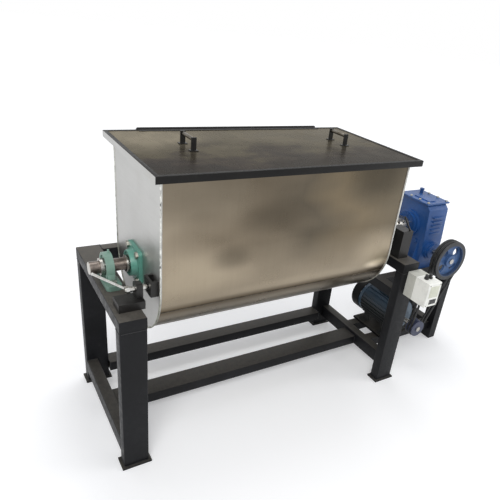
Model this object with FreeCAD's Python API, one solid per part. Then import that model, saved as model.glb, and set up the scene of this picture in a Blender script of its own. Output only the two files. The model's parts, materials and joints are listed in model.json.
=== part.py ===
import FreeCAD, Part
import math
import os
from FreeCAD import Vector

os.makedirs("parts", exist_ok=True)

# Driving dimensions in millimetres.
# X runs along the trough to the drive, Y to the back, Z up from the floor.

# Main frame, welded from black rectangular tube
frame_height = 700.0
frame_end_room = 166.0
frame_back_room = 2.0
tube_wide = 100.0
tube_thin = 50.0
tube_wall = 4.0
lower_rail_z = 55.0
back_rail_depth = 80.0
side_rail_height = 70.0
end_cap = 3.0
foot_thick = 8.0
foot_margin = 10.0

# Shaft and trough
shaft_r = 25.0
shaft_rise = 57.2
trough_length = 1118.0
trough_r = 265.0
trough_sheet = 3.0
end_sheet = 5.0
end_lip = 3.0
rim_width = 20.0
rim_sheet = 3.0
trough_wall = 439.8

# Lid
lid_end_room = 8.5
lid_side_room = 15.5
lid_sheet = 2.5
lid_skirt = 21.5
lid_gap = 0.5

# Lid handles
handle_pitch_x = 722.0
handle_shift_x = 15.0
handle_y = 25.0
handle_span = 107.0
handle_height = 50.0
post_wide = 20.0
post_thick = 6.0
grip_r = 6.0

# Lid hinge
hinge_length = 900.0
hinge_knuckles = 9
hinge_r = 8.0
hinge_pin_r = 4.0
hinge_offset = 10.0
leaf_sheet = 3.0
strap_depth = 26.0
bracket_drop = 36.0
knuckle_gap = 1.0

# Agitator ribbons
ribbon_clearance = 12.0
ribbon_strip = 40.0
ribbon_thick = 8.0
ribbon_pitch = 540.0
ribbon_end_room = 14.0
arm_end_room = 30.0
inner_r = 130.0
inner_strip = 30.0
arm_r = 9.0
ribbon_sections = 16

# Bearings
running_gap = 0.06
insert_r = 45.0
insert_width = 20.0
collar_r = 34.0
collar_length = 52.0
pillow_base = 206.0
pillow_width = 60.0
pillow_foot = 19.0
pillow_hub_r = 56.0
pillow_hub_wide = 30.0
pillow_web_wide = 24.0
pillow_bolt_pitch = 159.0
flange_size = 143.0
flange_thick = 15.0
flange_hub_r = 52.0
flange_reach = 38.0
flange_bolt_pitch = 111.0
bolt_r = 8.0
shaft_overhang = 70.0
coupling_offset = 100.0

# Muff coupling to the reducer
coupling_r = 44.0
coupling_length = 110.0

# Tilt lock at the front of the left end
lock_inset = 50.0
lock_rise = 64.0
lock_pin_r = 10.0
lock_hole_room = 1.0
lock_guide_depth = 44.0
lock_guide_long = 24.0
lock_guide_room = 20.0
lock_bar_long = 96.0
lock_bar_depth = 72.0
lock_bar_high = 32.0
lock_bar_front = 47.0
lock_travel = 18.0
lock_tip_gap = 3.0
lock_stop_room = 3.0
lug_thick = 10.0
lug_standoff = 20.0
lug_half_wide = 35.0
lug_half_high = 30.0
lever_boss_r = 14.0
lever_boss_long = 12.0
lever_r = 5.0
lever_reach = (-84.0, 145.0, 5.0)
rest_wide = 63.0
rest_deep = 90.0
rest_high = 140.0
rest_front = 66.0
rest_shift = 4.0
stay_r = 4.5
stay_reach = (-62.0, -4.0, 80.0)

# Worm reducer
worm_centre_drop = 120.0
coupling_room = 37.0
hub_step = 2.0
case_wide = 164.0
case_deep = 256.0
case_head = 140.8
case_wall_step = 12.0
worm_height = 110.0
input_r = 14.0
output_r = 27.5
hub_r = 62.0
cover_thick = 14.0

# Belt drive
belt_reach = 127.0
large_pulley_r = 108.0
small_pulley_r = 46.2
pulley_width = 46.0
groove_depth = 10.0
groove_pitch = 19.0
belt_gap = 0.4
belt_thick = 11.0
belt_half = 3.5

# Motor
motor_shift_x = 115.0
motor_centre_height = 123.0
motor_r = 92.0
motor_fins = 30
fin_height = 10.0
motor_belt_room = 95.0
motor_long = 278.0
cowl_length = 62.0
motor_shaft_r = 14.0

# Drive stand
stand_reach = 255.0
stand_half_depth = 133.0
top_plate_reach = 150.0
top_plate_half = 165.0
motor_rail_y = 105.0
stand_leg_wide = 50.0
stand_leg_deep = 75.0
top_plate = 12.0
motor_plate_thick = 12.0

# Control box on the front right leg
box_inset = 65.0
box_wide = 84.0
box_drop = 40.0
box_tall = 124.0
box_base_depth = 56.0
box_cover_depth = 88.0
switch_travel = 3.0

shaft_z = frame_height + shaft_rise
half_trough = trough_length / 2
half_frame = half_trough + frame_end_room
ribbon_run = half_trough - end_sheet - ribbon_end_room
lock_y = lock_inset - trough_r
half_depth = trough_r + end_lip + frame_back_room + tube_thin
trough_top = shaft_z + trough_wall
lid_length = 2 * (half_trough + rim_width + lid_end_room + lid_sheet)
lid_depth = 2 * (trough_r + end_lip + rim_width + lid_side_room + lid_sheet)
pillow_x = half_frame - tube_wide / 2
inner_wall_r = trough_r - trough_sheet
ribbon_r = inner_wall_r - ribbon_clearance
lid_top = trough_top + lid_gap + lid_sheet
hinge_y = lid_depth / 2 + hinge_offset
lock_z = frame_height + lock_rise
worm_z = shaft_z - worm_centre_drop
case_base = worm_z - worm_height
case_top = shaft_z + case_head
coupling_start = pillow_x + coupling_offset
coupling_end = coupling_start + coupling_length
reducer_x = coupling_end + coupling_room + cover_thick + hub_step + case_wide / 2
stand_top = case_base
stand_right = reducer_x + stand_reach
top_plate_left = reducer_x - top_plate_reach
belt_y = -case_deep / 2 - belt_reach
motor_x = reducer_x - motor_shift_x
motor_seat = lower_rail_z + tube_thin + motor_plate_thick
motor_z = motor_seat + motor_centre_height
motor_front = belt_y + motor_belt_room
motor_back = motor_front + motor_long
box_left = half_frame - box_inset
box_high = frame_height - box_drop
box_low = box_high - box_tall

nodes = {}


def box(x0, x1, y0, y1, z0, z1):
    return Part.makeBox(x1 - x0, y1 - y0, z1 - z0, Vector(x0, y0, z0))


def rod_x(x0, x1, y, z, r):
    return Part.makeCylinder(r, x1 - x0, Vector(x0, y, z), Vector(1, 0, 0))


def rod_y(y0, y1, x, z, r):
    return Part.makeCylinder(r, y1 - y0, Vector(x, y0, z), Vector(0, 1, 0))


def rod_z(z0, z1, x, y, r):
    return Part.makeCylinder(r, z1 - z0, Vector(x, y, z0), Vector(0, 0, 1))


def ring_x(x0, x1, y, z, outer, inner):
    return rod_x(x0, x1, y, z, outer).cut(rod_x(x0 - 1, x1 + 1, y, z, inner))


def tube_along_x(x0, x1, y0, y1, z0, z1):
    w = tube_wall
    return box(x0, x1, y0, y1, z0, z1).cut(box(x0 - 1, x1 + 1, y0 + w, y1 - w, z0 + w, z1 - w))


def tube_along_y(x0, x1, y0, y1, z0, z1):
    w = tube_wall
    return box(x0, x1, y0, y1, z0, z1).cut(box(x0 + w, x1 - w, y0 - 1, y1 + 1, z0 + w, z1 - w))


def tube_along_z(x0, x1, y0, y1, z0, z1):
    w = tube_wall
    return box(x0, x1, y0, y1, z0, z1).cut(box(x0 + w, x1 - w, y0 + w, y1 - w, z0 - 1, z1 + 1))


def hex_x(x0, x1, y, z, across):
    """Hexagonal bolt head or nut on an axis along X."""
    r = across / math.sqrt(3)
    corners = []
    for i in range(7):
        a = math.radians(60 * i)
        corners.append(Vector(x0, y + r * math.cos(a), z + r * math.sin(a)))
    return Part.Face(Part.makePolygon(corners)).extrude(Vector(x1 - x0, 0, 0))


def hex_z(z0, z1, x, y, across):
    """Hexagonal bolt head or nut on an axis along Z."""
    r = across / math.sqrt(3)
    corners = []
    for i in range(7):
        a = math.radians(60 * i)
        corners.append(Vector(x + r * math.cos(a), y + r * math.sin(a), z0))
    return Part.Face(Part.makePolygon(corners)).extrude(Vector(0, 0, z1 - z0))


def mirror_x(shape):
    return shape.mirror(Vector(0, 0, 0), Vector(1, 0, 0))


def group(shapes):
    solids = []
    for s in shapes:
        solids.extend(s.Solids)
    return Part.makeCompound(solids)


def make_main_frame():
    leg_top = frame_height - tube_thin
    inner_x = half_frame - tube_wide
    inner_y = half_depth - tube_thin
    for side, sx in (("left", -1), ("right", 1)):
        x0, x1 = sorted((sx * inner_x, sx * half_frame))
        for end, sy in (("front", -1), ("back", 1)):
            y0, y1 = sorted((sy * inner_y, sy * half_depth))
            nodes["leg_" + end + "_" + side] = tube_along_z(x0, x1, y0, y1, foot_thick, leg_top)
        beam = tube_along_y(x0, x1, -half_depth, half_depth, leg_top, frame_height)
        caps = [box(x0, x1, -half_depth, end_cap - half_depth, leg_top, frame_height)]
        caps.append(box(x0, x1, half_depth - end_cap, half_depth, leg_top, frame_height))
        beam = beam.fuse(caps).removeSplitter()
        for sy in (-1, 1):
            hole_y = sy * pillow_bolt_pitch / 2
            beam = beam.cut(rod_z(leg_top - 1, frame_height + 1, sx * pillow_x, hole_y, bolt_r))
        nodes["end_beam_" + side] = beam
        rail_x0, rail_x1 = sorted((sx * (half_frame - tube_thin), sx * half_frame))
        nodes["lower_rail_" + side] = tube_along_y(
            rail_x0, rail_x1, -inner_y, inner_y, lower_rail_z, lower_rail_z + side_rail_height)
    rail_top = lower_rail_z + tube_thin
    span = half_frame - tube_thin
    nodes["lower_rail_middle"] = tube_along_x(
        -span, span, -tube_wide / 2, tube_wide / 2, lower_rail_z, rail_top)
    # The back rail runs between the back legs and the side rails' ends.
    nodes["lower_rail_back"] = tube_along_x(
        -inner_x, inner_x, half_depth - back_rail_depth, half_depth, lower_rail_z, rail_top)
    nodes["top_rail_back"] = tube_along_x(
        -inner_x, inner_x, inner_y, half_depth, frame_height - tube_wide, frame_height)


def make_feet():
    feet = []
    m = foot_margin
    for sx in (-1, 1):
        x0, x1 = sorted((sx * (half_frame - tube_wide), sx * half_frame))
        for sy in (-1, 1):
            y0, y1 = sorted((sy * (half_depth - tube_thin), sy * half_depth))
            feet.append(box(x0 - m, x1 + m, y0 - m, y1 + m, 0, foot_thick))
    nodes["foot_plates"] = group(feet)


def u_outline(r, top):
    """U-shaped closed outline in the YZ plane at X = 0."""
    left_low = Vector(0, -r, shaft_z)
    right_low = Vector(0, r, shaft_z)
    bottom = Vector(0, 0, shaft_z - r)
    left_top = Vector(0, -r, top)
    right_top = Vector(0, r, top)
    edges = [
        Part.makeLine(left_top, left_low),
        Part.Arc(left_low, bottom, right_low).toShape(),
        Part.makeLine(right_low, right_top),
        Part.makeLine(right_top, left_top),
    ]
    return Part.Face(Part.Wire(edges))


def u_prism(x0, x1, r, top):
    face = u_outline(r, top)
    face.translate(Vector(x0, 0, 0))
    return face.extrude(Vector(x1 - x0, 0, 0))


def make_trough():
    inner_x = half_trough - end_sheet
    shell = u_prism(-inner_x, inner_x, trough_r, trough_top)
    shell = shell.cut(u_prism(-inner_x - 1, inner_x + 1, inner_wall_r, trough_top + 1))
    nodes["trough_shell"] = shell
    seal_r = shaft_r + 14
    for side, sx in (("left", -1), ("right", 1)):
        x0, x1 = sorted((sx * inner_x, sx * half_trough))
        plate = u_prism(x0, x1, trough_r + end_lip, trough_top)
        plate = plate.cut(rod_x(x0 - 1, x1 + 1, 0, shaft_z, seal_r))
        for y, z in flange_bolt_points():
            plate = plate.cut(rod_x(x0 - 1, x1 + 1, y, z, bolt_r))
        nodes["trough_end_" + side] = plate
    seals = []
    for sx in (-1, 1):
        x0, x1 = sorted((sx * (inner_x - 4), sx * half_trough))
        seals.append(ring_x(x0, x1, 0, shaft_z, seal_r, shaft_r + running_gap))
    nodes["shaft_seals"] = group(seals)
    rim_y = trough_r + end_lip
    low = trough_top - rim_sheet
    rim = box(-half_trough - rim_width, half_trough + rim_width,
              -rim_y - rim_width, rim_y + rim_width, low, trough_top)
    rim = rim.cut(box(-half_trough, half_trough, -trough_r, trough_r, low - 1, trough_top + 1))
    for x0, x1 in ((-half_trough, -inner_x), (inner_x, half_trough)):
        rim = rim.cut(box(x0, x1, -rim_y, rim_y, low - 1, trough_top + 1))
    nodes["trough_rim"] = rim


def flange_bolt_points():
    h = flange_bolt_pitch / 2
    return [(-h, shaft_z - h), (h, shaft_z - h), (h, shaft_z + h), (-h, shaft_z + h)]


def flange_housing():
    """Four-bolt square bearing housing on the left end plate, with its outer race."""
    x_face = -half_trough
    h = flange_size / 2
    plate = box(x_face - flange_thick, x_face, -h, h, shaft_z - h, shaft_z + h)
    corners = [e for e in plate.Edges if abs(e.BoundBox.XLength - flange_thick) < 0.01]
    plate = plate.makeFillet(18, corners)
    hub = Part.makeCone(flange_hub_r + 8, flange_hub_r, flange_reach,
                        Vector(x_face, 0, shaft_z), Vector(-1, 0, 0))
    body = plate.fuse(hub)
    body = body.cut(rod_x(x_face - flange_reach - 1, x_face + 1, 0, shaft_z, insert_r))
    for y, z in flange_bolt_points():
        body = body.cut(rod_x(x_face - flange_thick - 1, x_face + 1, y, z, bolt_r))
    return body


def flange_race():
    x_mid = -half_trough - flange_reach + insert_width / 2 + 4
    return ring_x(x_mid - insert_width / 2, x_mid + insert_width / 2, 0, shaft_z,
                  insert_r, collar_r + running_gap)


def pillow_housing():
    """Two-bolt pillow block housing on the left end beam."""
    x_mid = -pillow_x
    half_base = pillow_base / 2
    half_width = pillow_width / 2
    foot = box(x_mid - half_width, x_mid + half_width, -half_base, half_base,
               frame_height, frame_height + pillow_foot)
    upright = [e for e in foot.Edges if abs(e.BoundBox.ZLength - pillow_foot) < 0.01]
    foot = foot.makeFillet(16, upright)
    hub = rod_x(x_mid - pillow_hub_wide / 2, x_mid + pillow_hub_wide / 2, 0, shaft_z, pillow_hub_r)
    web = box(x_mid - pillow_web_wide / 2, x_mid + pillow_web_wide / 2,
              -pillow_hub_r - 8, pillow_hub_r + 8, frame_height, shaft_z - 12)
    nipple = rod_z(shaft_z + pillow_hub_r - 4, shaft_z + pillow_hub_r + 12, x_mid + 6, 0, 4)
    body = foot.fuse([hub, web, nipple])
    below = box(x_mid - 100, x_mid + 100, -200, 200, frame_height - 200, frame_height)
    body = body.cut(below)
    body = body.cut(rod_x(x_mid - 60, x_mid + 60, 0, shaft_z, insert_r))
    for sy in (-1, 1):
        hole_y = sy * pillow_bolt_pitch / 2
        body = body.cut(rod_z(frame_height - 1, frame_height + 60, x_mid, hole_y, bolt_r))
    return body.removeSplitter()


def pillow_race():
    return ring_x(-pillow_x - insert_width / 2, -pillow_x + insert_width / 2, 0, shaft_z,
                  insert_r, collar_r + running_gap)


def inner_ring(x0, x1):
    """Bearing inner ring with its set-screw collar, tight on the shaft."""
    body = ring_x(x0, x1, 0, shaft_z, collar_r, shaft_r)
    body = body.cut(rod_z(shaft_z + 20, shaft_z + 60, x0 + 7, 0, 3))
    return body


def make_bearings():
    for side, flip in (("left", False), ("right", True)):
        pillow = group([pillow_housing(), pillow_race()])
        flange = group([flange_housing(), flange_race()])
        if flip:
            pillow = mirror_x(pillow)
            flange = mirror_x(flange)
        nodes["pillow_block_" + side] = pillow
        nodes["flange_bearing_" + side] = flange
    half = collar_length / 2
    flange_mid = half_trough + flange_reach - insert_width / 2 - 4
    rings = [inner_ring(-pillow_x - half - 4, -pillow_x + half - 6)]
    rings.append(inner_ring(-flange_mid - half + 2, -flange_mid + half - 14))
    rings.extend([mirror_x(r) for r in list(rings)])
    nodes["bearing_inner_rings"] = group(rings)


def bolt_z(x, y, z_seat, length, across=24):
    """Bolt with its head up on z_seat and its nut below the joint."""
    head = hex_z(z_seat, z_seat + 10, x, y, across)
    shank = rod_z(z_seat - length, z_seat, x, y, bolt_r)
    nut = hex_z(z_seat - length + 6, z_seat - length + 16, x, y, across)
    return head.fuse([shank, nut])


def make_bolts():
    seat = frame_height + pillow_foot
    nut_face = frame_height - tube_thin
    bolts = []
    for sx in (-1, 1):
        for sy in (-1, 1):
            length = seat - nut_face + 16
            bolts.append(bolt_z(sx * pillow_x, sy * pillow_bolt_pitch / 2, seat, length))
    for x, y in reducer_bolt_points():
        seat_z = case_base + 16
        bolts.append(bolt_z(x, y, seat_z, 16 + top_plate + 16, 19))
    nodes["mounting_bolts"] = group(bolts)
    trough_bolts = []
    for sx in (-1, 1):
        for y, z in flange_bolt_points():
            head0, head1 = sorted((sx * (half_trough + flange_thick), sx * (half_trough + flange_thick + 10)))
            head = hex_x(head0, head1, y, z, 24)
            x0, x1 = sorted((sx * (half_trough - end_sheet), sx * (half_trough + flange_thick)))
            shank = rod_x(x0, x1, y, z, bolt_r)
            n0, n1 = sorted((sx * (half_trough - end_sheet - 8), sx * (half_trough - end_sheet)))
            trough_bolts.append(head.fuse([shank, hex_x(n0, n1, y, z, 24)]))
    nodes["flange_bolts"] = group(trough_bolts)


def make_lid():
    x = lid_length / 2
    y = lid_depth / 2
    low = lid_top - lid_sheet - lid_skirt
    pan = box(-x, x, -y, y, low, lid_top)
    pan = pan.cut(box(-x + lid_sheet, x - lid_sheet, -y + lid_sheet, y - lid_sheet,
                      low - 1, lid_top - lid_sheet))
    nodes["lid_pan"] = pan
    for side, sx in (("left", -1), ("right", 1)):
        hx = handle_shift_x + sx * handle_pitch_x / 2
        parts = []
        for sy in (-1, 1):
            py = handle_y + sy * handle_span / 2
            post = box(hx - post_wide / 2, hx + post_wide / 2, py - post_thick / 2,
                       py + post_thick / 2, lid_top, lid_top + handle_height)
            parts.append(post)
        grip_z = lid_top + handle_height - grip_r - 3
        half = handle_span / 2 - post_thick / 2
        grip = rod_y(handle_y - half, handle_y + half, hx, grip_z, grip_r)
        nodes["lid_handle_" + side] = parts[0].fuse([parts[1], grip])


def knuckle_spans(first):
    """X spans of every second knuckle of the hinge, from knuckle number first."""
    pitch = hinge_length / hinge_knuckles
    start = -hinge_length / 2
    spans = []
    for i in range(first, hinge_knuckles, 2):
        x0 = start + i * pitch + knuckle_gap / 2
        spans.append((x0, x0 + pitch - knuckle_gap))
    return spans


def make_hinge():
    half = hinge_length / 2
    lid_edge = lid_depth / 2
    strap = box(-half, half, lid_edge - strap_depth, lid_edge, lid_top, lid_top + 2)
    lid_parts = []
    for x0, x1 in knuckle_spans(0):
        lid_parts.append(box(x0, x1, lid_edge - 1, hinge_y, lid_top, lid_top + 2))
        lid_parts.append(rod_x(x0, x1, hinge_y, lid_top, hinge_r))
    lid_leaf = strap.fuse(lid_parts)
    lid_leaf = lid_leaf.cut(rod_x(-half - 1, half + 1, hinge_y, lid_top, hinge_pin_r + running_gap))
    nodes["hinge_leaf_lid"] = lid_leaf.removeSplitter()
    bracket_z = lid_top - bracket_drop
    rim_y = trough_r
    shelf = box(-half, half, rim_y, hinge_y + leaf_sheet / 2, bracket_z - leaf_sheet, bracket_z)
    clear_z = lid_top - hinge_r - 2
    upright = box(-half, half, hinge_y - leaf_sheet / 2, hinge_y + leaf_sheet / 2, bracket_z, clear_z)
    parts = [upright]
    for x0, x1 in knuckle_spans(1):
        parts.append(box(x0, x1, hinge_y - leaf_sheet / 2, hinge_y + leaf_sheet / 2,
                         clear_z - 1, lid_top - hinge_pin_r))
        parts.append(rod_x(x0, x1, hinge_y, lid_top, hinge_r))
    leaf = shelf.fuse(parts)
    leaf = leaf.cut(rod_x(-half - 1, half + 1, hinge_y, lid_top, hinge_pin_r))
    nodes["hinge_leaf_trough"] = leaf.removeSplitter()
    nodes["hinge_pin"] = rod_x(-half - 4, half + 4, hinge_y, lid_top, hinge_pin_r)


def ribbon_section(x, angle, outer, inner):
    u = Vector(0, math.cos(angle), math.sin(angle))
    base = Vector(x - ribbon_thick / 2, 0, shaft_z)
    step = Vector(ribbon_thick, 0, 0)
    points = [base + u * inner, base + u * outer, base + u * outer + step, base + u * inner + step]
    return Part.makePolygon(points + [points[0]])


def ribbon(outer, inner, hand, start_angle, sign):
    """Helical strip from the middle of the shaft to one end."""
    sections = []
    x_start = ribbon_thick / 2
    run = ribbon_run - ribbon_thick
    for i in range(ribbon_sections + 1):
        travel = run * i / ribbon_sections
        angle = start_angle + hand * 2 * math.pi * (x_start + travel) / ribbon_pitch
        sections.append(ribbon_section(sign * (x_start + travel), angle, outer, inner))
    return Part.makeLoft(sections, True, False)


def arm_stations():
    """X place and angle of every arm that holds the ribbons."""
    end = ribbon_run - arm_end_room
    middle = ribbon_pitch / 2
    return [-end, -middle, -arm_end_room, arm_end_room, middle, end]


def make_agitator():
    outer_angle = math.pi / 2
    outer_in = ribbon_r - ribbon_strip
    nodes["outer_ribbon_left"] = ribbon(ribbon_r, outer_in, 1, outer_angle, -1)
    nodes["outer_ribbon_right"] = ribbon(ribbon_r, outer_in, 1, outer_angle, 1)
    inner_angle = outer_angle + math.pi
    inner_in = inner_r - inner_strip
    inner = [ribbon(inner_r, inner_in, -1, inner_angle, s) for s in (-1, 1)]
    nodes["inner_ribbons"] = group(inner)
    arms = []
    holes = []
    for x in arm_stations():
        turn = 2 * math.pi * abs(x) / ribbon_pitch
        for angle, reach in ((outer_angle + turn, outer_in), (inner_angle - turn, inner_in)):
            u = Vector(0, math.cos(angle), math.sin(angle))
            root = Vector(x, 0, shaft_z) + u * (shaft_r - 6)
            arms.append(Part.makeCylinder(arm_r, reach - 0.3 - (shaft_r - 6), root, u))
            holes.append(Part.makeCylinder(arm_r, shaft_r, root, u))
    nodes["ribbon_arms"] = group(arms)
    left = -pillow_x - shaft_overhang
    right = coupling_start + coupling_length / 2
    shaft = rod_x(left, right, 0, shaft_z, shaft_r)
    shaft = shaft.cut(holes)
    shaft = shaft.makeChamfer(2, [e for e in shaft.Edges if e.BoundBox.XMax < left + 0.1])
    nodes["main_shaft"] = shaft


def make_coupling():
    """Split muff coupling between the agitator shaft and the reducer."""
    x0 = coupling_start
    x1 = coupling_end
    mid = (x0 + x1) / 2
    sleeve = ring_x(x0, mid, 0, shaft_z, coupling_r, shaft_r)
    sleeve = sleeve.fuse(ring_x(mid, x1, 0, shaft_z, coupling_r, output_r))
    split = box(x0 - 1, x1 + 1, -coupling_r - 1, coupling_r + 1, shaft_z - 1, shaft_z + 1)
    halves = sleeve.cut(split)
    bolts = []
    for x in (x0 + 22, mid, x1 - 22):
        for sy in (-1, 1):
            y = sy * (output_r + coupling_r) / 2
            halves = halves.cut(rod_z(shaft_z - 60, shaft_z + 60, x, y, 4))
            halves = halves.cut(rod_z(shaft_z + 20, shaft_z + 60, x, y, 8))
            halves = halves.cut(rod_z(shaft_z - 60, shaft_z - 20, x, y, 8))
            bolt = rod_z(shaft_z - 20, shaft_z + 20, x, y, 4)
            head = hex_z(shaft_z + 20, shaft_z + 27, x, y, 12)
            bolts.append(bolt.fuse([head, hex_z(shaft_z - 27, shaft_z - 20, x, y, 12)]))
    nodes["shaft_coupling"] = group([halves] + bolts)
    out_end = reducer_x + case_wide / 2 + cover_thick - 4
    nodes["reducer_output_shaft"] = rod_x(mid, out_end, 0, shaft_z, output_r)


def reducer_bolt_points():
    dx = case_wide / 2 - 4
    dy = case_deep / 2 - 60
    return [(reducer_x + sx * dx, sy * dy) for sx in (-1, 1) for sy in (-1, 1)]


def make_reducer():
    """Cast worm reducer housing, worm below the wheel."""
    x0 = reducer_x - case_wide / 2
    x1 = reducer_x + case_wide / 2
    hy = case_deep / 2
    step = case_wall_step
    low_top = worm_z + 58
    outline = [
        Vector(x0 + step, -hy, case_base + 16),
        Vector(x0 + step, hy, case_base + 16),
        Vector(x0 + step, hy, low_top),
        Vector(x0 + step, hy - 12, case_top - 34),
        Vector(x0 + step, hy - 40, case_top - 8),
        Vector(x0 + step, -hy + 40, case_top - 8),
        Vector(x0 + step, -hy + 12, case_top - 34),
        Vector(x0 + step, -hy, low_top),
    ]
    body = Part.Face(Part.makePolygon(outline + [outline[0]])).extrude(Vector(case_wide - 2 * step, 0, 0))
    lid = box(x0, x1, -hy + 22, hy - 22, case_top - 8, case_top)
    foot = box(x0 - 14, x1 + 14, -hy, hy, case_base, case_base + 16)
    corners = [e for e in foot.Edges if abs(e.BoundBox.ZLength - 16) < 0.01]
    foot = foot.makeFillet(14, corners)
    wheel_hub = rod_x(x0 - hub_step, x1 + hub_step, 0, shaft_z, hub_r + 12)
    worm_hub = rod_y(-hy - 16, hy + 16, reducer_x, worm_z, 52)
    parts = [lid, foot, wheel_hub, worm_hub]
    for i in range(5):
        z = worm_z + 96 + 22 * i
        parts.append(box(reducer_x - 36, reducer_x + 36, -hy - 4, hy + 4, z, z + 6))
    for sy in (-1, 1):
        y = sy * (hy - 34)
        rib = Part.Face(Part.makePolygon([
            Vector(x0 - 10, y - 5, case_base + 10), Vector(x0 + step, y - 5, case_base + 10),
            Vector(x0 + step, y - 5, worm_z + 70), Vector(x0 - 10, y - 5, case_base + 10),
        ])).extrude(Vector(0, 10, 0))
        parts.append(rib)
        parts.append(rib.mirror(Vector(reducer_x, 0, 0), Vector(1, 0, 0)))
    body = body.fuse(parts)
    body = body.cut(rod_x(x0 - 40, x1 + 40, 0, shaft_z, output_r + running_gap))
    body = body.cut(rod_y(-hy - 60, hy + 10, reducer_x, worm_z, input_r + running_gap))
    for x, y in reducer_bolt_points():
        body = body.cut(rod_z(case_base - 1, case_base + 40, x, y, bolt_r))
        body = body.cut(rod_z(case_base + 16, case_base + 34, x, y, 13))
    nodes["reducer_case"] = body.removeSplitter()
    covers = []
    for xa, xb in ((x0 - hub_step - cover_thick, x0 - hub_step), (x1 + hub_step, x1 + hub_step + cover_thick)):
        cover = ring_x(xa, xb, 0, shaft_z, hub_r, output_r + running_gap)
        for i in range(6):
            a = math.radians(60 * i + 30)
            y = 50 * math.cos(a)
            z = shaft_z + 50 * math.sin(a)
            head = (xa - 5, xa) if xa < reducer_x else (xb, xb + 5)
            cover = cover.fuse(hex_x(head[0], head[1], y, z, 12))
        covers.append(cover)
    front = Part.makeCylinder(44, 10, Vector(reducer_x, -hy - 26, worm_z), Vector(0, 1, 0))
    front = front.cut(rod_y(-hy - 60, hy, reducer_x, worm_z, input_r + running_gap))
    rear = Part.makeCylinder(44, 10, Vector(reducer_x, hy + 16, worm_z), Vector(0, 1, 0))
    covers.extend([front, rear])
    breather = rod_z(case_top, case_top + 16, reducer_x + 36, 60, 9)
    breather = breather.fuse(hex_z(case_top + 16, case_top + 26, reducer_x + 36, 60, 22))
    plate = box(reducer_x - 46, reducer_x + 2, -78, 30, case_top, case_top + 4)
    plugs = [breather, plate]
    plugs.append(hex_x(x0 + step - 8, x0 + step, -78, worm_z - 30, 16))
    plugs.append(rod_x(x0 + step - 6, x0 + step, -70, worm_z + 40, 14))
    nodes["reducer_covers"] = group(covers + plugs)


def grooved_pulley(x, z, r, bore, width, web):
    """Two-groove pulley on an axis along Y, centred on the belt plane."""
    y0 = belt_y - width / 2
    profile = [Vector(bore, 0, 0), Vector(r, 0, 0)]
    for k in (-0.5, 0.5):
        mid = width / 2 + k * groove_pitch
        profile.append(Vector(r, mid - 7, 0))
        profile.append(Vector(r - groove_depth, mid - 4, 0))
        profile.append(Vector(r - groove_depth, mid + 4, 0))
        profile.append(Vector(r, mid + 7, 0))
    profile.extend([Vector(r, width, 0), Vector(bore, width, 0)])
    face = Part.Face(Part.makePolygon(profile + [profile[0]]))
    body = face.revolve(Vector(0, 0, 0), Vector(0, 1, 0), 360)
    if web:
        hub = bore + 18
        rim = r - groove_depth - 12
        for a, b in ((-1, width / 2 - 6), (width / 2 + 6, width + 1)):
            dish = Part.makeCylinder(rim, b - a, Vector(0, a, 0), Vector(0, 1, 0))
            dish = dish.cut(Part.makeCylinder(hub, b - a, Vector(0, a, 0), Vector(0, 1, 0)))
            body = body.cut(dish)
        hole_r = (rim - hub) / 2 - 5
        for i in range(4):
            t = math.radians(45 + 90 * i)
            ring_mid = (rim + hub) / 2
            hole = Part.makeCylinder(hole_r, width + 2, Vector(ring_mid * math.cos(t), -1, ring_mid * math.sin(t)),
                                     Vector(0, 1, 0))
            body = body.cut(hole)
    body.translate(Vector(x, y0, z))
    return body


def make_belt_drive():
    back = case_deep / 2 + 8
    front = belt_y - pulley_width / 2 - 6
    nodes["worm_shaft"] = rod_y(front, back, reducer_x, worm_z, input_r)
    nodes["large_pulley"] = grooved_pulley(reducer_x, worm_z, large_pulley_r, input_r, pulley_width, True)
    nodes["motor_shaft"] = rod_y(front, motor_back + 34, motor_x, motor_z, motor_shaft_r)
    nodes["motor_pulley"] = grooved_pulley(
        motor_x, motor_z, small_pulley_r, motor_shaft_r, pulley_width, False)
    belts = [belt_loop(belt_y + k * groove_pitch) for k in (-0.5, 0.5)]
    nodes["drive_belts"] = group(belts)


def loop_face(y, big, small):
    """Face bounded by a loop round both pulleys in the plane Y = y."""
    dx = reducer_x - motor_x
    dz = worm_z - motor_z
    dist = math.hypot(dx, dz)
    axis = math.atan2(dz, dx)
    lean = math.acos((big - small) / dist)
    points = []
    for cx, cz, r, sign in ((reducer_x, worm_z, big, 1), (motor_x, motor_z, small, 1)):
        for s in (-1, 1):
            # The tangent points lie at the same angle on both circles.
            a = axis + math.pi - s * lean * sign
            points.append(Vector(cx + r * math.cos(a), y, cz + r * math.sin(a)))
    big_a, big_b, small_a, small_b = points
    far = Vector(reducer_x + big * math.cos(axis), y, worm_z + big * math.sin(axis))
    near = Vector(motor_x - small * math.cos(axis), y, motor_z - small * math.sin(axis))
    edges = [
        Part.Arc(big_a, far, big_b).toShape(),
        Part.makeLine(big_b, small_b),
        Part.Arc(small_b, near, small_a).toShape(),
        Part.makeLine(small_a, big_a),
    ]
    return Part.Face(Part.Wire(edges))


def belt_loop(y_mid):
    big = large_pulley_r - groove_depth + belt_gap
    small = small_pulley_r - groove_depth + belt_gap
    outer = loop_face(y_mid - belt_half, big + belt_thick, small + belt_thick)
    inner = loop_face(y_mid - belt_half, big, small)
    return outer.cut(inner).extrude(Vector(0, 2 * belt_half, 0))


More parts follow.
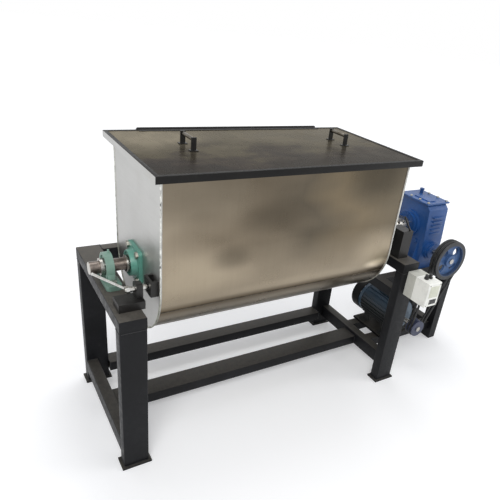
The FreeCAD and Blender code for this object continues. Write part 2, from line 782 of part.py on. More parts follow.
def make_motor():
    front = motor_front
    back = motor_back
    body_front = front + 26
    body_back = back - 20
    core = rod_y(body_front, body_back, motor_x, motor_z, motor_r)
    fins = []
    for i in range(motor_fins):
        a = 360.0 / motor_fins * i
        if 60 < a < 120 or 235 < a < 305:
            continue
        fin = box(motor_r - 3, motor_r + fin_height, body_front + 4, body_back - 4, -1.6, 1.6)
        fin.rotate(Vector(0, 0, 0), Vector(0, 1, 0), -a)
        fin.translate(Vector(motor_x, 0, motor_z))
        fins.append(fin)
    pad_front = -stand_half_depth + tube_thin + 8
    pad = box(motor_x - 38, motor_x + 38, pad_front, pad_front + 100,
              motor_z + motor_r - 14, motor_z + motor_r + 12)
    feet = []
    seat = motor_seat
    for sx in (-1, 1):
        for y in (body_front + 18, body_back - 58):
            x_out = motor_x + sx * 96
            x_in = motor_x + sx * 48
            xa, xb = sorted((x_out, x_in))
            feet.append(box(xa, xb, y, y + 40, seat, seat + 12))
            wa, wb = sorted((motor_x + sx * 52, motor_x + sx * 62))
            feet.append(box(wa, wb, y, y + 40, seat, motor_z - motor_r * 0.55))
    body = core.fuse(fins + [pad] + feet)
    body = body.cut(rod_y(body_front - 1, body_back + 1, motor_x, motor_z, motor_shaft_r + running_gap))
    nodes["motor_body"] = body.removeSplitter()
    nose = Part.makeCone(48, motor_r + 4, 26, Vector(motor_x, front, motor_z), Vector(0, 1, 0))
    tail = Part.makeCylinder(motor_r + 4, 20, Vector(motor_x, body_back, motor_z), Vector(0, 1, 0))
    bore = rod_y(front - 10, back + 10, motor_x, motor_z, motor_shaft_r + running_gap)
    nodes["motor_end_shields"] = group([nose.cut(bore), tail.cut(bore)])
    cowl = Part.makeCylinder(motor_r + 8, cowl_length, Vector(motor_x, back, motor_z), Vector(0, 1, 0))
    rim_edge = [e for e in cowl.Edges if e.BoundBox.YMin > back + cowl_length - 0.1]
    cowl = cowl.makeFillet(6, rim_edge)
    cowl = cowl.cut(rod_y(back - 1, back + cowl_length - 3, motor_x, motor_z, motor_r + 5))
    for ring_r, count in ((26, 8), (46, 14), (66, 20)):
        for i in range(count):
            a = 2 * math.pi * i / count
            cowl = cowl.cut(rod_y(back + 20, back + cowl_length + 1, motor_x + ring_r * math.cos(a),
                                  motor_z + ring_r * math.sin(a), 5.5))
    nodes["motor_fan_cowl"] = cowl
    fan = rod_y(back + 8, back + 34, motor_x, motor_z, 26)
    blades = []
    for i in range(7):
        blade = box(20, 78, back + 10, back + 34, -1.5, 1.5)
        blade.rotate(Vector(0, 0, 0), Vector(0, 1, 0), 360.0 / 7 * i)
        blade.translate(Vector(motor_x, 0, motor_z))
        blades.append(blade)
    disc = rod_y(back + 8, back + 11, motor_x, motor_z, 78)
    fan = fan.fuse(blades + [disc]).cut(rod_y(back, back + 60, motor_x, motor_z, motor_shaft_r))
    nodes["motor_fan"] = fan.removeSplitter()
    top = motor_z + motor_r + 12
    y0 = -stand_half_depth + tube_thin + 4
    tbox = box(motor_x - 46, motor_x + 46, y0, y0 + 108, top, top + 58)
    tall = [e for e in tbox.Edges if abs(e.BoundBox.ZLength - 58) < 0.01]
    tbox = tbox.makeFillet(8, tall)
    seam = box(motor_x - 60, motor_x + 60, y0 - 10, y0 + 120, top + 38, top + 40)
    seam = seam.cut(box(motor_x - 44.5, motor_x + 44.5, y0 + 1.5, y0 + 106.5, top + 37, top + 41))
    nodes["motor_terminal_box"] = tbox.cut(seam)


def stand_rail_top():
    return lower_rail_z + tube_thin


def make_stand():
    """Two outer legs, with rails back to the main frame's right end."""
    hy = stand_half_depth
    rail_high = stand_top - top_plate
    rail_low = rail_high - tube_thin
    leg_x = stand_right - stand_leg_wide
    legs = []
    for y0 in (-hy, hy - stand_leg_deep):
        legs.append(tube_along_z(leg_x, stand_right, y0, y0 + stand_leg_deep, 0, rail_low))
    nodes["stand_legs"] = group(legs)
    rail_top = stand_rail_top()
    rails = []
    for y0 in (-motor_rail_y, motor_rail_y - tube_thin):
        rails.append(tube_along_x(half_frame, leg_x, y0, y0 + tube_thin, lower_rail_z, rail_top))
    for y0 in (-hy, hy - tube_thin):
        rail = tube_along_x(half_frame, stand_right, y0, y0 + tube_thin, rail_low, rail_high)
        cap = box(stand_right - end_cap, stand_right, y0, y0 + tube_thin, rail_low, rail_high)
        rails.append(rail.fuse(cap).removeSplitter())
    rails.append(tube_along_y(leg_x, stand_right, -hy + stand_leg_deep, hy - stand_leg_deep,
                              lower_rail_z, rail_top))
    inner_y = half_depth - tube_thin
    rails.append(tube_along_y(half_frame - tube_thin, half_frame, -inner_y, inner_y, rail_low, rail_high))
    nodes["stand_rails"] = group(rails)
    plate = box(top_plate_left, stand_right, -top_plate_half, top_plate_half, rail_high, stand_top)
    for x, y in reducer_bolt_points():
        plate = plate.cut(rod_z(stand_top - 20, stand_top + 1, x, y, bolt_r))
    nodes["stand_top_plate"] = plate
    nodes["motor_plate"] = box(motor_x - 105, motor_x + 105, -motor_rail_y - 30, motor_rail_y + 15,
                               rail_top, rail_top + motor_plate_thick)


def rest_block():
    """Upright block on the right beam with its short stay rod."""
    mid = pillow_x - rest_shift
    front = -half_depth + rest_front
    top = frame_height + rest_high
    block = box(mid - rest_wide / 2, mid + rest_wide / 2, front, front + rest_deep, frame_height, top)
    edges = [e for e in block.Edges if e.BoundBox.ZMin > top - 1]
    block = block.makeFillet(3, edges)
    root = Vector(mid + rest_wide / 2 - 10, front + 12, top - 3)
    reach = Vector(*stay_reach)
    return block.fuse(Part.makeCylinder(stay_r, reach.Length, root, reach))


def make_lock():
    """Hand-operated plunger that holds the trough upright."""
    lug_out = -half_trough - lug_standoff - lug_thick
    lug_in = -half_trough - lug_standoff
    tip = lug_out - lock_tip_gap
    guide_in = tip - lock_guide_room
    guide_out = guide_in - lock_guide_long
    half = lock_guide_depth / 2
    bar_top = frame_height + lock_bar_high
    front = lock_y - lock_bar_front
    bar = box(guide_in - lock_bar_long, guide_in, front, front + lock_bar_depth, frame_height, bar_top)
    guide = box(guide_out, guide_in, lock_y - half, lock_y + half, bar_top, lock_z + half)
    top_edges = [e for e in guide.Edges if e.BoundBox.ZMin > lock_z + half - 1 and e.BoundBox.XLength > 20]
    guide = guide.makeFillet(half / 2, top_edges)
    block = bar.fuse(guide)
    block = block.cut(rod_x(guide_out - 1, guide_in + 1, lock_y, lock_z, lock_pin_r + running_gap))
    nodes["lock_blocks"] = Part.makeCompound([block, rest_block()])
    low = lock_z - lug_half_high
    high = lock_z + lug_half_high
    lug = box(lug_out, lug_in, lock_y - lug_half_wide, lock_y + lug_half_wide, low, high)
    hole = lock_pin_r + lock_hole_room
    lug = lug.cut(box(lug_out - 1, lug_in + 1, lock_y - hole, lock_y + hole, lock_z - hole, lock_z + hole))
    arms = []
    for y in (lock_y - lug_half_wide, lock_y + lug_half_wide - lug_thick):
        arms.append(box(lug_in, -half_trough, y, y + lug_thick, low, high))
    nodes["lock_lug"] = lug.fuse(arms).removeSplitter()
    boss_in = guide_out - lock_travel - lock_stop_room
    boss_out = boss_in - lever_boss_long
    pin = rod_x(boss_out - 4, tip, lock_y, lock_z, lock_pin_r)
    boss = rod_x(boss_out, boss_in, lock_y, lock_z, lever_boss_r)
    root = Vector((boss_out + boss_in) / 2, lock_y, lock_z)
    end = root + Vector(*lever_reach)
    reach = end - root
    lever = Part.makeCylinder(lever_r, reach.Length, root, reach)
    knob = Part.makeSphere(lever_r + 1, end)
    nodes["lock_pin"] = pin.fuse([boss, lever, knob])


def make_control_box():
    back = -half_depth
    join = back - box_base_depth
    front = join - box_cover_depth
    x0 = box_left
    x1 = box_left + box_wide
    base = box(x0, x1, join, back, box_low, box_high)
    upright = [e for e in base.Edges if abs(e.BoundBox.ZLength - (box_high - box_low)) < 0.01]
    base = base.makeFillet(3, upright)
    base = base.cut(box(x0 + 3, x1 - 3, join - 1, back - 3, box_low + 3, box_high - 3))
    nodes["control_box_base"] = base
    cover = box(x0, x1, front, join, box_low, box_high)
    rounded = [e for e in cover.Edges if e.BoundBox.YMax < join - 0.1]
    cover = cover.makeFillet(5, rounded)
    cover = cover.cut(box(x0 + 3, x1 - 3, front + 4, join + 1, box_low + 3, box_high - 3))
    sw_x = x0 + box_wide * 0.56
    sw_z = box_low + 26
    cover = cover.cut(box(sw_x - 19, sw_x + 19, front - 1, front + 6, sw_z - 9, sw_z + 9))
    frame_ring = box(sw_x - 18.6, sw_x + 18.6, front + 0.5, front + 16, sw_z - 8.6, sw_z + 8.6)
    cavity = box(sw_x - 15, sw_x + 15, front - 1, front + 12, sw_z - 6.5, sw_z + 6.5)
    nodes["control_box_cover"] = group([cover, frame_ring.cut(cavity)])
    button = box(sw_x - 14.6, sw_x + 14.6, front - 2.5, front + 8, sw_z - 6.1, sw_z + 6.1)
    nodes["start_button"] = button.makeFillet(1.5, [e for e in button.Edges if e.BoundBox.YMax < front])
    glands = []
    for gx in (x0 + 30, x0 + 56):
        gy = join - 34
        gland = hex_z(box_high, box_high + 8, gx, gy, 20)
        gland = gland.fuse([rod_z(box_high + 8, box_high + 22, gx, gy, 8.5)])
        glands.append(gland)
    nodes["cable_glands"] = group(glands)


def place_and_export():
    """Put the middle of the footprint at the origin and write one file per node."""
    whole = Part.makeCompound(list(nodes.values()))
    bb = whole.BoundBox
    shift = Vector(-(bb.XMin + bb.XMax) / 2, -(bb.YMin + bb.YMax) / 2, -bb.ZMin)
    print("shift", [round(v, 4) for v in shift], "size", round(bb.XLength, 2), round(bb.YLength, 2),
          round(bb.ZLength, 2))
    for name, shape in nodes.items():
        placed = shape.copy()
        placed.translate(shift)
        placed.exportStep("parts/" + name + ".step")
    print(len(nodes), "nodes")


make_main_frame()
make_feet()
make_trough()
make_bearings()
make_bolts()
make_lid()
make_hinge()
make_agitator()
make_coupling()
make_reducer()
make_belt_drive()
make_motor()
make_stand()
make_lock()
make_control_box()
place_and_export()
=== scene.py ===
import math
import json

import bmesh
import bpy
from mathutils import Euler, Matrix, Vector

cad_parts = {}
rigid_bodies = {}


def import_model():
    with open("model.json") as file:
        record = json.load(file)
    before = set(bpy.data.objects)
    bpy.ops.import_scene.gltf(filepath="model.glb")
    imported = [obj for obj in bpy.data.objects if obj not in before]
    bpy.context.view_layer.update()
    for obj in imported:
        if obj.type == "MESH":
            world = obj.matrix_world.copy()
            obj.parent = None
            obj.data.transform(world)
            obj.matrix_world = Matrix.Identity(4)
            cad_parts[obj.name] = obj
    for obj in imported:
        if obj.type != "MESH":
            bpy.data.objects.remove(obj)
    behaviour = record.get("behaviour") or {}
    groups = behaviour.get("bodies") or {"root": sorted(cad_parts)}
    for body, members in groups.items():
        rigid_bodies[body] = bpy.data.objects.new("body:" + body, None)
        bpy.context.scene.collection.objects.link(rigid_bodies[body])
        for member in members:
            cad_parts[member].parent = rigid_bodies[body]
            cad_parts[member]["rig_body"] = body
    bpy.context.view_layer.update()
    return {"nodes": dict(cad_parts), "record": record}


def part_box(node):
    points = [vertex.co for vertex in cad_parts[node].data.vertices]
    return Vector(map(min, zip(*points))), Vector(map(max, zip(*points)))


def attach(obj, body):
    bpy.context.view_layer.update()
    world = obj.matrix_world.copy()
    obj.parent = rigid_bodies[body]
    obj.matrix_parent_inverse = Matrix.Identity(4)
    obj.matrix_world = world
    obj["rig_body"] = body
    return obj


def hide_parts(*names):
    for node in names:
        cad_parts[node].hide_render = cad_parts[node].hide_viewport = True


bl_info = {
    "name": "Trough Mixer Finish",
    "version": (1, 0, 0),
    "blender": (4, 5, 0),
    "location": "View3D > Sidebar > Mixer",
    "description": "Dresses the packed trough mixer with finishes, welds, fittings and a plain stage",
    "category": "Object",
}

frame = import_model()
nodes = frame["nodes"]
slot_of_node = {part["node"]: part["material_slot"] for part in frame["record"]["subparts"]}


def middle(node):
    low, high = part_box(node)
    return (low + high) / 2


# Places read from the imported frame
shaft_y = middle("main_shaft").y
shaft_z = middle("main_shaft").z
trough_x = middle("trough_shell").x

# Where the seam runs along the front sheet, turned about the shaft line
seam_angle = math.radians(-157.6)

# Painted stand-ins for a room's reflections on the front sheet, tuned against the photo:
# place as shares of the sheet's length and height, half-widths in x and z, tone
room_reflections = (
    (0.14, 0.90, 0.46, 0.19, 0.62),
    (0.40, 0.64, 0.25, 0.10, 0.68),
    (0.86, 0.90, 0.24, 0.18, 0.56),
    (0.25, 0.36, 0.12, 0.07, 0.62),
    (0.93, 0.26, 0.20, 0.13, 1.55),
)


def trough_seam_height():
    low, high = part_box("trough_shell")
    return shaft_z + (high.y - low.y) / 2 * math.sin(seam_angle)


def length(name, description, default):
    return bpy.props.FloatProperty(name=name, description=description, default=default, unit="LENGTH")


def colour(name, description, default):
    return bpy.props.FloatVectorProperty(
        name=name, description=description, default=default, subtype="COLOR", size=3)


class MixerSizes(bpy.types.PropertyGroup):
    weld_radius: length("Weld bead", "Radius of the weld beads", 0.0022)
    seam_radius: length("Sheet seam", "Radius of the seam in the trough sheet", 0.0024)
    corner_radius: length("Corner seam", "Radius of the bright bead along the end plate corners", 0.0034)
    cast_round: length("Cast rounding", "Edge rounding on cast housings", 0.0035)
    tube_round: length("Tube rounding", "Corner rounding of the frame tube", 0.004)
    lid_border_width: length("Lid border", "Width of the painted border round the lid", 0.015)
    lid_border_thick: length("Lid border thickness", "Thickness of the border over the lid", 0.0016)
    grip_radius: length("Grip sleeve", "Radius of the sleeve on each lid handle", 0.0072)
    stage_size: length("Floor", "Width of the plain floor", 60.0)


class MixerColours(bpy.types.PropertyGroup):
    frame_black: colour("Frame paint", "Satin black enamel of the frame", (0.0075, 0.0078, 0.0090))
    frame_dust_and_sheen: colour("Frame dust and sheen", "Dust and painted sheen on the upward faces of the frame", (0.118, 0.108, 0.092))
    trough_steel: colour("Trough steel", "Mill-finish stainless sheet", (0.41, 0.345, 0.255))
    end_steel: colour("End plate steel", "Stainless end plates", (0.485, 0.482, 0.465))
    # The two lid tones below are painted reflections on the polished lid
    lid_reflection_dark: colour("Lid dark", "Dark patches of the polished lid", (0.040, 0.035, 0.029))
    lid_reflection_pale: colour("Lid pale", "Pale patches of the polished lid", (0.150, 0.132, 0.098))
    bearing_green: colour("Bearing green", "Enamel of the bearing housings", (0.098, 0.285, 0.222))
    dusty_green: colour("Dusty green", "Duller enamel of the pillow bearings", (0.200, 0.335, 0.270))
    reducer_blue: colour("Reducer blue", "Enamel of the reducer", (0.012, 0.070, 0.24))
    motor_blue: colour("Motor paint", "Blue-grey enamel of the motor", (0.050, 0.090, 0.135))
    motor_painted_shade: colour("Motor body", "Painted shade on the lower part of the finned motor body", (0.030, 0.031, 0.030))
    box_white: colour("Control box white", "Plastic of the control box cover", (0.92, 0.92, 0.86))
    box_grey: colour("Control box grey", "Plastic of the control box base", (0.56, 0.56, 0.50))


# Node helpers. A value is either a socket, which is linked, or a plain number or vector.


def feed(tree, value, socket):
    if hasattr(value, "links"):
        tree.links.new(value, socket)
    else:
        socket.default_value = value


def maths(tree, operation, *values, clamp=False):
    node = tree.nodes.new("ShaderNodeMath")
    node.operation = operation
    node.use_clamp = clamp
    for value, socket in zip(values, node.inputs):
        feed(tree, value, socket)
    return node.outputs["Value"]


def vector_maths(tree, operation, *values):
    node = tree.nodes.new("ShaderNodeVectorMath")
    node.operation = operation
    for value, socket in zip(values, node.inputs):
        feed(tree, value, socket)
    return node.outputs["Value" if operation in {"LENGTH", "DOT_PRODUCT"} else "Vector"]


def rescale(tree, source, low, high, to_low=0.0, to_high=1.0, smooth=False):
    """Ramp from to_low, where source is low, to to_high, where it is high."""
    node = tree.nodes.new("ShaderNodeMapRange")
    if smooth:
        node.interpolation_type = "SMOOTHSTEP"
    for name, value in (("From Min", low), ("From Max", high), ("To Min", to_low), ("To Max", to_high)):
        node.inputs[name].default_value = value
    tree.links.new(source, node.inputs["Value"])
    return node.outputs["Result"]


def component(tree, source, axis):
    node = tree.nodes.new("ShaderNodeSeparateXYZ")
    tree.links.new(source, node.inputs["Vector"])
    return node.outputs[axis]


def noise(tree, source, scale, detail=4.0, roughness=0.55, stretch=(1.0, 1.0, 1.0)):
    mapping = tree.nodes.new("ShaderNodeMapping")
    mapping.inputs["Scale"].default_value = stretch
    tree.links.new(source, mapping.inputs["Vector"])
    texture = tree.nodes.new("ShaderNodeTexNoise")
    for name, value in (("Scale", scale), ("Detail", detail), ("Roughness", roughness)):
        texture.inputs[name].default_value = value
    tree.links.new(mapping.outputs["Vector"], texture.inputs["Vector"])
    return texture.outputs["Fac"]


def ramp(tree, source, stops):
    """Colour that runs through (position, colour) stops; a plain number stands for a grey."""
    node = tree.nodes.new("ShaderNodeValToRGB")
    elements = node.color_ramp.elements
    chosen = [elements[0], elements[1]]
    chosen[0].position, chosen[1].position = stops[0][0], stops[-1][0]
    chosen[0].color, chosen[1].color = (*tone_of(stops[0][1]), 1.0), (*tone_of(stops[-1][1]), 1.0)
    for position, tone in stops[1:-1]:
        elements.new(position).color = (*tone_of(tone), 1.0)
    tree.links.new(source, node.inputs["Fac"])
    return node.outputs["Color"]


def tone_of(value):
    return (value, value, value) if isinstance(value, float) else value


def spread(tree, source, low, high):
    """Low to high over the middle of a noise's range."""
    return rescale(tree, source, 0.3, 0.7, low, high)


def mix_colour(tree, factor, first, second, mode="MIX"):
    node = tree.nodes.new("ShaderNodeMix")
    node.data_type = "RGBA"
    node.blend_type = mode
    feed(tree, factor, node.inputs["Factor"])
    for value, socket in ((first, node.inputs["A"]), (second, node.inputs["B"])):
        feed(tree, value if hasattr(value, "links") else (*tone_of(value), 1.0), socket)
    return node.outputs["Result"]


def tinted(tree, factor, tone, tint):
    return mix_colour(tree, factor, tone, tint, "MULTIPLY")


def scaled(tone, factor):
    return tuple(min(1.0, c * factor) for c in tone)


def height_band(tree, place, stops):
    """Tone that follows the height in the rest pose, from (height, tone) stops."""
    low = stops[0][0]
    high = stops[-1][0]
    share = rescale(tree, component(tree, place, "Z"), low, high)
    return ramp(tree, share, [((z - low) / (high - low), tone) for z, tone in stops])


def soft_patch(tree, place, centre, reach):
    """1 at centre, falling smoothly to 0 at the edge of an ellipsoid of half-widths reach."""
    offset = vector_maths(tree, "SUBTRACT", place, tuple(centre))
    unit = vector_maths(tree, "MULTIPLY", offset, tuple(1.0 / r for r in reach))
    return rescale(tree, vector_maths(tree, "LENGTH", unit), 0.15, 1.0, 1.0, 0.0, smooth=True)


def facing_out(tree, place):
    """1 on the outer face of the trough sheet and 0 on its inner face."""
    coords = tree.nodes.new("ShaderNodeTexCoord")
    offset = vector_maths(tree, "SUBTRACT", place, (0.0, shaft_y, shaft_z))
    across = vector_maths(tree, "MULTIPLY", offset, (0.0, 1.0, 0.3))
    outward = vector_maths(tree, "DOT_PRODUCT", across, coords.outputs["Normal"])
    return maths(tree, "GREATER_THAN", outward, 0.0)


# Finishes


def start_material(name):
    material = bpy.data.materials.new(name)
    material.use_nodes = True
    tree = material.node_tree
    tree.nodes.clear()
    out = tree.nodes.new("ShaderNodeOutputMaterial")
    shader = tree.nodes.new("ShaderNodeBsdfPrincipled")
    tree.links.new(shader.outputs["BSDF"], out.inputs["Surface"])
    coords = tree.nodes.new("ShaderNodeTexCoord")
    return material, tree, shader, coords.outputs["Object"]


def dress(tree, shader, tone, roughness, grain, depth, strength=0.5, metallic=0.0, gloss=0.5):
    """Colour, roughness and a fine bump of depth metres from grain."""
    tree.links.new(tone, shader.inputs["Base Color"])
    tree.links.new(roughness, shader.inputs["Roughness"])
    shader.inputs["Metallic"].default_value = metallic
    shader.inputs["Specular IOR Level"].default_value = gloss
    node = tree.nodes.new("ShaderNodeBump")
    node.inputs["Distance"].default_value = depth
    node.inputs["Strength"].default_value = strength
    tree.links.new(grain, node.inputs["Height"])
    tree.links.new(node.outputs["Normal"], shader.inputs["Normal"])


def painted_reflection_tone(tree, place):
    """Painted reflections on the trough sheet: pale low down and at the left, dark and cloudy at mid height.
    """
    low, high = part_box("trough_shell")
    seam_z = trough_seam_height()
    along = rescale(tree, component(tree, place, "X"), low.x, high.x)
    cloud = noise(tree, place, 2.6, 2.0, 0.45, (0.8, 1.0, 1.7))
    drift = maths(tree, "MULTIPLY_ADD", cloud, 0.7, -0.35)
    # Tone along the sheet and by height: painted reflections of the room
    sideways = ramp(tree, maths(tree, "ADD", along, drift), [
        (0.06, 0.62), (0.32, (0.42, 0.41, 0.40)), (0.60, 0.262), (0.78, (0.40, 0.38, 0.34)),
        (0.96, (0.34, 0.34, 0.33))])
    rise = rescale(tree, component(tree, place, "Z"), shaft_z - 0.03, shaft_z + 0.15)
    tone = mix_colour(tree, maths(tree, "ADD", rise, drift, clamp=True), 0.72, sideways)
    # Pale lower left corner: a painted reflection
    painted_left_reflection = soft_patch(tree, place, (low.x + 0.12, low.y, seam_z + 0.13), (0.30, 0.5, 0.16))
    tone = mix_colour(tree, painted_left_reflection, tone, (0.80, 0.80, 0.79))
    for along_share, height_share, reach_x, reach_z, shade in room_reflections:
        centre = (low.x + along_share * (high.x - low.x), low.y, seam_z + height_share * (high.z - seam_z))
        patch = soft_patch(tree, place, centre, (reach_x, 0.5, reach_z))
        tone = tinted(tree, 1.0, tone, mix_colour(tree, patch, 1.0, shade))
    # A pale run along the bend above the seam: a painted reflection of the floor
    bend_z = seam_z + 0.040
    bend_y = low.y + 0.012
    painted_bend_reflection = soft_patch(tree, place, (low.x + 0.60, bend_y, bend_z), (0.62, 0.5, 0.035))
    tone = mix_colour(tree, painted_bend_reflection, tone, 0.86)
    # A painted highlight at the right end of the bend
    painted_bend_highlight = soft_patch(tree, place, (high.x - 0.045, bend_y, bend_z + 0.008), (0.11, 0.5, 0.034))
    return mix_colour(tree, painted_bend_highlight, tone, (2.1, 2.15, 2.2))


def sheet_steel(name, base, grain, low_rough=0.26, high_rough=0.42, contrast=0.22, streak_tone=0.86,
                bands=None, broad=(1.0, 1.0, 1.0), mark_share=0.55):
    """Rolled stainless sheet: cloudy tone, fine grain along the roll, faint handling marks; given bands, its
    outer face also gets painted shade by height and painted reflections.
    """
    material, tree, shader, place = start_material(name)
    cloud = noise(tree, place, 2.2, 3.0, 0.5, broad)
    fine = noise(tree, place, 160.0, 3.0, 0.6, grain)
    marks = noise(tree, place, 9.0, 6.0, 0.7)
    tone = ramp(tree, cloud, [
        (0.28, scaled(base, 1 - contrast)), (0.52, base), (0.74, scaled(base, 1 + contrast))])
    brushed = tinted(tree, 0.8, tone, ramp(tree, fine, [(0.3, streak_tone), (0.7, 1.0)]))
    worn = tinted(tree, mark_share, brushed, ramp(tree, marks, [(0.36, (0.78, 0.76, 0.73)), (0.52, 1.0)]))
    # Outer face only: painted shade by height from the bands, then the painted reflections
    if bands:
        outer_with_painted_light = tinted(tree, 1.0, worn, height_band(tree, place, bands))
        outer_with_painted_light = tinted(tree, 1.0, outer_with_painted_light, painted_reflection_tone(tree, place))
        worn = mix_colour(tree, facing_out(tree, place), worn, outer_with_painted_light)
    dress(tree, shader, worn, spread(tree, marks, low_rough, high_rough), fine, 0.00004, metallic=1.0)
    return material


def polished_lid(name, dark, pale):
    """Polished lid sheet with painted reflections: dark along the front, warm grey to the back, with ragged
    patches between.
    """
    material, tree, shader, place = start_material(name)
    broad = noise(tree, place, 3.2, 6.0, 0.62, (1.0, 1.6, 1.0))
    scuff = noise(tree, place, 14.0, 4.0, 0.62, (1.0, 0.7, 1.0))
    low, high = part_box("lid_pan")
    depth = rescale(tree, component(tree, place, "Y"), low.y, high.y)
    ragged = maths(tree, "MULTIPLY_ADD", broad, 1.5, -0.75)
    tone = ramp(tree, maths(tree, "ADD", depth, ragged), [
        (0.16, dark), (0.34, scaled(dark, 1.7)), (0.46, scaled(pale, 0.75)), (0.85, scaled(pale, 1.15))])
    # Pale back left corner: a painted reflection
    painted_corner_reflection = soft_patch(tree, place, (low.x + 0.14, high.y - 0.10, high.z), (0.34, 0.26, 0.5))
    tone = mix_colour(tree, painted_corner_reflection, tone, scaled(pale, 2.1))
    tone = tinted(tree, 0.6, tone, ramp(tree, scuff, [(0.40, (0.72, 0.71, 0.70)), (0.60, 1.0)]))
    dress(tree, shader, tone, spread(tree, scuff, 0.20, 0.34), scuff, 0.00004, 0.4, 0.6, 0.12)
    shader.inputs["Specular Tint"].default_value = (0.34, 0.32, 0.28, 1.0)
    return material


def enamel(name, base, rough, cast, dust=0.25, gloss=0.5, metallic=0.0):
    """Brushed or sprayed enamel; cast sets how coarse the surface under it is."""
    material, tree, shader, place = start_material(name)
    coarse = noise(tree, place, 420.0 if cast < 0.5 else 190.0, 4.0, 0.6)
    cloud = noise(tree, place, 6.0, 4.0, 0.6)
    speck = noise(tree, place, 60.0, 6.0, 0.75)
    tone = ramp(tree, cloud, [(0.3, scaled(base, 0.72)), (0.55, base), (0.78, scaled(base, 1.35))])
    grey = sum(base) / 3 + 0.10
    dusty = tuple(0.5 * c + 0.5 * grey for c in base)
    tone = mix_colour(tree, rescale(tree, speck, 0.56, 0.78, 0.0, dust), tone, dusty)
    roughness = spread(tree, speck, rough * 0.8, min(1.0, rough * 1.35))
    dress(tree, shader, tone, roughness, coarse, 0.00012 + 0.0005 * cast, metallic=metallic, gloss=gloss)
    return material


def frame_enamel(name, base, dust, rough):
    """Dark enamel with dust and a painted sheen lying on the faces that look up, less of it low down, and
    thin scuffs along the tube.
    """
    material, tree, shader, place = start_material(name)
    coarse = noise(tree, place, 380.0, 3.0, 0.6)
    cloud = noise(tree, place, 7.0, 5.0, 0.65)
    speck = noise(tree, place, 48.0, 6.0, 0.75)
    tone = ramp(tree, cloud, [(0.3, scaled(base, 0.7)), (0.55, base), (0.78, scaled(base, 1.7))])
    surface = tree.nodes.new("ShaderNodeNewGeometry")
    # Paler on the faces that look up: dust, and a painted sheen of light from above
    upward = rescale(tree, component(tree, surface.outputs["True Normal"], "Z"), 0.6, 0.95)
    patchy = maths(tree, "MULTIPLY", upward, spread(tree, speck, 0.45, 0.95))
    level = height_band(tree, place, [(0.30, 0.55), (0.60, 1.0)])
    dusty = mix_colour(tree, maths(tree, "MULTIPLY", patchy, level), tone, dust)
    scuffed = mix_colour(tree, rescale(tree, speck, 0.60, 0.78, 0.0, 0.35), dusty, scaled(dust, 0.6))
    roughness = spread(tree, speck, rough * 0.8, min(1.0, rough * 1.5))
    dress(tree, shader, scuffed, roughness, coarse, 0.00016, gloss=0.18)
    return material


def painted_shade_enamel(name, clean, painted_shade, rough):
    """Enamel that shows on top, with painted shade over it lower down."""
    material, tree, shader, place = start_material(name)
    coarse = noise(tree, place, 190.0, 4.0, 0.6)
    patch = noise(tree, place, 14.0, 5.0, 0.7)
    low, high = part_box("motor_body")
    mid = (low.z + high.z) / 2
    # Painted shade below about the middle of the motor body
    height = height_band(tree, place, [(low.z, 0.0), (mid + 0.02, 0.05), (mid + 0.075, 1.0), (high.z, 1.0)])
    cover = tinted(tree, 1.0, height, ramp(tree, patch, [(0.35, 0.6), (0.6, 1.0)]))
    tone = mix_colour(tree, cover, painted_shade, clean)
    dress(tree, shader, tone, spread(tree, patch, rough * 0.8, rough * 1.3), coarse, 0.0004, gloss=0.35)
    return material


def turned_steel(name, base, rough, around=(1.0, 0.05, 0.05)):
    """Lathe-turned steel with fine rings and a few oily stains."""
    material, tree, shader, place = start_material(name)
    rings = noise(tree, place, 900.0, 2.0, 0.5, around)
    stain = noise(tree, place, 30.0, 5.0, 0.7)
    tone = ramp(tree, rings, [(0.3, scaled(base, 0.82)), (0.7, base)])
    tone = tinted(tree, 0.6, tone, ramp(tree, stain, [(0.38, (0.5, 0.44, 0.36)), (0.55, 1.0)]))
    dress(tree, shader, tone, spread(tree, stain, rough * 0.8, rough * 1.4), rings, 0.00003, 0.4, 1.0)
    return material


def worn_shaft(name, dull, bright):
    """Main shaft: dull oily steel with its sawn end clean and bright."""
    material, tree, shader, place = start_material(name)
    rings = noise(tree, place, 900.0, 2.0, 0.5, (1.0, 0.05, 0.05))
    stain = noise(tree, place, 24.0, 5.0, 0.7)
    sawn = soft_patch(tree, place, (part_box("main_shaft")[0].x, shaft_y, shaft_z), (0.004, 0.2, 0.2))
    tone = ramp(tree, stain, [(0.34, scaled(dull, 0.55)), (0.52, dull), (0.72, scaled(dull, 1.5))])
    tone = mix_colour(tree, sawn, tone, bright)
    dress(tree, shader, tone, spread(tree, stain, 0.26, 0.46), rings, 0.00003, 0.4, 1.0)
    return material


def plastic(name, base, rough):
    """Moulded plastic with a fine spark texture and light grime."""
    material, tree, shader, place = start_material(name)
    spark = noise(tree, place, 900.0, 2.0, 0.5)
    grime = noise(tree, place, 22.0, 5.0, 0.7)
    tone = ramp(tree, grime, [(0.34, scaled(base, 0.86)), (0.56, base)])
    dress(tree, shader, tone, spread(tree, grime, rough * 0.85, rough * 1.2), spark, 0.00006, 0.4)
    return material


def pulley_enamel(name, base, rim):
    """Blue pulley web with the rim dark from belt dust."""
    material, tree, shader, place = start_material(name)
    coarse = noise(tree, place, 190.0, 4.0, 0.6)
    speck = noise(tree, place, 40.0, 5.0, 0.7)
    low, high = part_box("large_pulley")
    radius = (high.z - low.z) / 2
    web = soft_patch(tree, place, (low + high) / 2, (radius * 1.02, 10.0, radius * 1.02))
    tone = ramp(tree, speck, [(0.35, scaled(base, 0.75)), (0.65, scaled(base, 1.2))])
    tone = mix_colour(tree, rescale(tree, web, 0.10, 0.24), rim, tone)
    dress(tree, shader, tone, spread(tree, speck, 0.34, 0.55), coarse, 0.0003, gloss=0.35)
    return material


